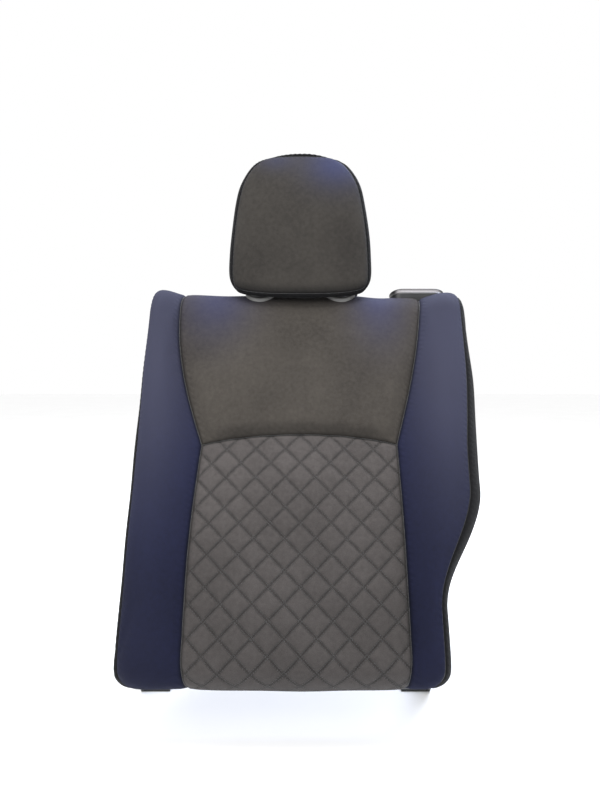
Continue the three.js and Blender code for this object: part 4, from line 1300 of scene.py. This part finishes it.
def painted_steel(name):
    s = Shader(name, Metallic=0.0, Coat_Weight=0.25, Coat_Roughness=0.3)
    place_in = s.here()
    peel = s.noise(place_in, 420.0, 2.0)
    dust = s.spread(s.noise(place_in, 14.0, 6.0, 0.7), 0.45, 0.75)
    scuff = s.spread(s.noise(place_in, 65.0, 8.0, 0.75), 0.64, 0.72)
    colour = s.mix(s.times(dust, 0.35), tone(16, 17, 18), tone(42, 41, 39))
    colour = s.mix(s.times(scuff, 0.5), colour, tone(74, 72, 70))
    s.bump(peel, 0.0003, 0.35)
    return s.finish(colour, s.plus(s.times(dust, 0.25), 0.38))


def plated_steel(name, pale, dull, roughness):
    s = Shader(name, Metallic=1.0)
    place_in = s.here()
    drawn = s.node("Mapping", {"Vector": place_in, "Scale": (900.0, 90.0, 90.0)}).outputs["Vector"]
    lines = s.cloud(drawn, 1.0, 3.0)
    cloud = s.spread(s.noise(place_in, 40.0, 5.0), 0.35, 0.65)
    s.bump(lines, 0.00006, 0.5)
    rough = s.plus(s.times(lines, 0.08), s.times(cloud, 0.12))
    return s.finish(s.mix(cloud, dull, pale), s.plus(rough, roughness))


def carpet(name):
    """Short needled pile."""
    s = Shader(name, Sheen_Weight=0.08, Sheen_Roughness=0.6, Specular_IOR_Level=0.15)
    place_in = s.here()
    tuft = s.node("TexVoronoi", {"Vector": place_in, "Scale": 650.0, "Randomness": 1.0}).outputs["Distance"]
    fibre = s.cloud(place_in, 1100.0, 3.0, 0.7)
    cloud = s.cloud(place_in, 12.0, 4.0)
    level = s.plus(s.times(fibre, 0.6), s.times(cloud, 0.4))
    s.bump(s.plus(tuft, fibre), 0.0011, 0.9)
    return s.finish(s.mix(level, tone(8, 8, 9), tone(38, 37, 39)), s.plus(s.times(fibre, 0.1), 0.88))


def foam_material(name):
    s = Shader(name)
    place_in = s.here()
    cells = s.node("TexVoronoi", {"Vector": place_in, "Scale": 500.0}).outputs["Distance"]
    cloud = s.cloud(place_in, 20.0, 4.0)
    s.bump(cells, 0.0008)
    return s.finish(s.mix(cloud, tone(205, 185, 120), tone(228, 214, 160)), 0.9)


BLUE_SHEEN = tone(96, 104, 150)
KNIT = dict(Specular_IOR_Level=0.15, Sheen_Weight=0.04, Sheen_Roughness=0.5)
# crest is a painted highlight colour for the bolsters' crests.
NAVY = woven(
    "navy_twill", tone(9, 11, 28), tone(24, 28, 56), tone(4, 5, 12), 0.0015, True, crest=tone(58, 59, 74),
    Specular_IOR_Level=0.15, Sheen_Weight=0.06, Sheen_Roughness=0.45, Sheen_Tint=BLUE_SHEEN,
)
BLACK = woven(
    "black_side_fabric", tone(10, 10, 12), tone(22, 22, 24), tone(6, 6, 7), 0.0013, True,
    Specular_IOR_Level=0.15, Sheen_Weight=0.03, Sheen_Roughness=0.4,
)
# tint is a painted bluish sheen colour.
CHARCOAL = woven(
    "charcoal_knit", tone(38, 35, 32), tone(72, 68, 63), tone(17, 16, 15), 0.0012, False, painted_sheen=tone(48, 53, 88),
    Sheen_Tint=BLUE_SHEEN, **KNIT,
)
# tint is a painted bluish sheen colour.
HEAD_KNIT = woven(
    "head_restraint_knit", tone(32, 30, 28), tone(62, 59, 55), tone(12, 12, 12), 0.0012, False, painted_sheen=tone(44, 52, 92),
    Sheen_Tint=BLUE_SHEEN, **KNIT,
)
QUILTED = woven(
    "quilted_knit", tone(49, 46, 45), tone(84, 80, 79), tone(24, 23, 22), 0.0013, False, **KNIT,
)
DARK_THREAD = thread_material("dark_thread", tone(12, 12, 13))
STITCH = thread_material("quilt_thread", tone(9, 9, 9))
BLACK_PLASTIC = moulded("black_grained_plastic", tone(10, 10, 11), tone(24, 24, 25), 0.36)
SURROUND = moulded("release_surround_plastic", tone(10, 10, 13), tone(22, 23, 27), 0.3, band=tone(124, 121, 124))
# band is near-black painted shade in the collars' dish.
GREY_PLASTIC = moulded("grey_moulded_plastic", tone(86, 86, 85), tone(106, 105, 103), 0.42, band=tone(12, 12, 13))
STEEL = painted_steel("black_painted_steel")
ZINC = plated_steel("zinc_plated_steel", tone(205, 205, 198), tone(158, 158, 152), 0.28)
CHROME = plated_steel("chromed_rod", tone(226, 227, 230), tone(205, 206, 210), 0.06)
CARPET = carpet("needled_carpet")
FOAM = foam_material("moulded_foam")
SLOT_MATERIALS = {
    "foam": FOAM, "navy_fabric": NAVY, "black_fabric": BLACK, "charcoal_fabric": CHARCOAL, "quilted_fabric": QUILTED,
    "carpet": CARPET, "black_plastic": BLACK_PLASTIC, "grey_plastic": GREY_PLASTIC, "black_steel": STEEL,
    "zinc_steel": ZINC, "chrome_rod": CHROME,
}


def dress_cad():
    """Every CAD node that stays gets the material of its slot."""
    for part in frame["record"]["subparts"]:
        for slot in frame["nodes"][part["node"]].material_slots:
            slot.material = SLOT_MATERIALS[part["material_slot"]]


def make_spring():
    """The return spring under the button, as a copy of the CAD coil."""
    coil = link(bpy.data.objects.new("release_return_coil", frame["nodes"]["release_spring"].data.copy()))
    dress(coil, ZINC, "backrest")
    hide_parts("release_spring")
    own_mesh(coil)


def assemble():
    dress_cad()
    pad = make_pad()
    rows = [
        ("left_gusset", BLACK, "black_fabric", ["left_gusset_cover"]),
        ("left_bolster", NAVY, "navy_fabric", ["left_bolster_cover"]),
        ("upper_insert", CHARCOAL, "charcoal_fabric", ["upper_insert_cover"]),
        ("quilted_insert", QUILTED, "quilted_fabric", ["quilted_insert_cover", "foam_pad"]),
        ("right_bolster", NAVY, "navy_fabric", ["right_bolster_cover"]),
        ("right_gusset", BLACK, "black_fabric", ["right_gusset_cover"]),
    ]
    for name, material, slot, nodes in rows:
        dress(pad[name], material, "backrest")
        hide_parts(*nodes)
    dress(face_out(pad["seam_thread"]), DARK_THREAD, "backrest")
    dress(face_out(pad["stitches"]), STITCH, "backrest")

    head = make_head()
    rows = [
        ("headrest_front", HEAD_KNIT, "charcoal_fabric", ["headrest_front_cover", "headrest_foam"]),
        ("headrest_rear", HEAD_KNIT, "charcoal_fabric", ["headrest_rear_cover"]),
        ("headrest_band", BLACK, "black_fabric", ["headrest_side_band"]),
    ]
    for name, material, slot, nodes in rows:
        dress(head[name], material, "headrest")
        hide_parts(*nodes)
    dress(face_out(head["seam_thread"]), DARK_THREAD, "headrest")

    rod = dress(face_out(make_rod()), CHROME, "headrest")
    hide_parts("headrest_rod")
    for piece, node in zip(make_guides(), ("left_guide_sleeve", "right_guide_sleeve")):
        dress(face_out(piece), GREY_PLASTIC, "backrest")
        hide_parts(node)
    bezel, button = make_release()
    dress(face_out(bezel), SURROUND, "backrest")
    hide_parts("release_bezel")
    dress(face_out(button), BLACK_PLASTIC, "release")
    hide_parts("release_button")
    make_spring()
    for grommet in make_grommets():
        dress(face_out(grommet), BLACK_PLASTIC, "backrest")
    dress(face_out(make_latch_shroud()), BLACK_PLASTIC, "backrest")
    board = dress(face_out(make_board()), CARPET, "backrest")
    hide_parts("rear_carpet_panel")


# ---------------------------------------------------------------- camera, light and floor
def aim(obj, target):
    obj.rotation_euler = (Vector(target) - obj.location).to_track_quat("-Z", "Y").to_euler()


CAMERA_AT = [-12.0, -972.0, 2.2]
CAMERA_AIM = [-12.0, -85.0, 346.0]
LENS, SENSOR = 27.7, 36.0
FLOOR_HALF = 12.0


def make_camera():
    data = bpy.data.cameras.new("camera")
    data.lens = LENS
    data.sensor_width = SENSOR
    camera = link(bpy.data.objects.new("camera", data))
    camera.location = place(CAMERA_AT)
    aim(camera, place(CAMERA_AIM))
    bpy.context.scene.camera = camera


def softbox(name, position, target, width, height, power, colour=(1.0, 1.0, 1.0)):
    data = bpy.data.lights.new(name, "AREA")
    data.shape = "RECTANGLE"
    data.size, data.size_y = width, height
    data.energy = power
    data.color = colour
    light = link(bpy.data.objects.new(name, data))
    light.location = position
    aim(light, target)


def make_stage():
    low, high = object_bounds()
    middle = (low + high) / 2
    softbox("overhead", (0.0, -0.5, 2.6), middle, 2.2, 1.6, 62)
    softbox("front_left", (-1.7, -2.0, 1.5), middle, 1.4, 1.4, 26)
    softbox("front_right", (1.8, -2.2, 1.3), middle, 1.4, 1.4, 12)
    softbox("cool_top", (0.9, 0.9, 2.0), middle, 1.6, 0.8, 40, (0.72, 0.8, 1.0))
    world = bpy.data.worlds.new("studio")
    world.use_nodes = True
    background = world.node_tree.nodes["Background"]
    background.inputs["Color"].default_value = (1.0, 1.0, 1.0, 1.0)
    background.inputs["Strength"].default_value = 1.0
    bpy.context.scene.world = world
    bpy.context.scene.view_settings.view_transform = "Standard"

    half = FLOOR_HALF
    mesh = bpy.data.meshes.new("floor")
    mesh.from_pydata([(-half, -half, 0), (half, -half, 0), (half, half, 0), (-half, half, 0)], [], [(0, 1, 2, 3)])
    floor = link(bpy.data.objects.new("floor", mesh))
    s = Shader("floor_paper", Roughness=0.9, Specular_IOR_Level=0.1)
    grain = s.cloud(s.here(), 3.0)
    mesh.materials.append(s.finish(s.mix(grain, (0.955, 0.955, 0.955, 1.0), (0.975, 0.975, 0.975, 1.0))))


make_camera()
assemble()
make_stage()
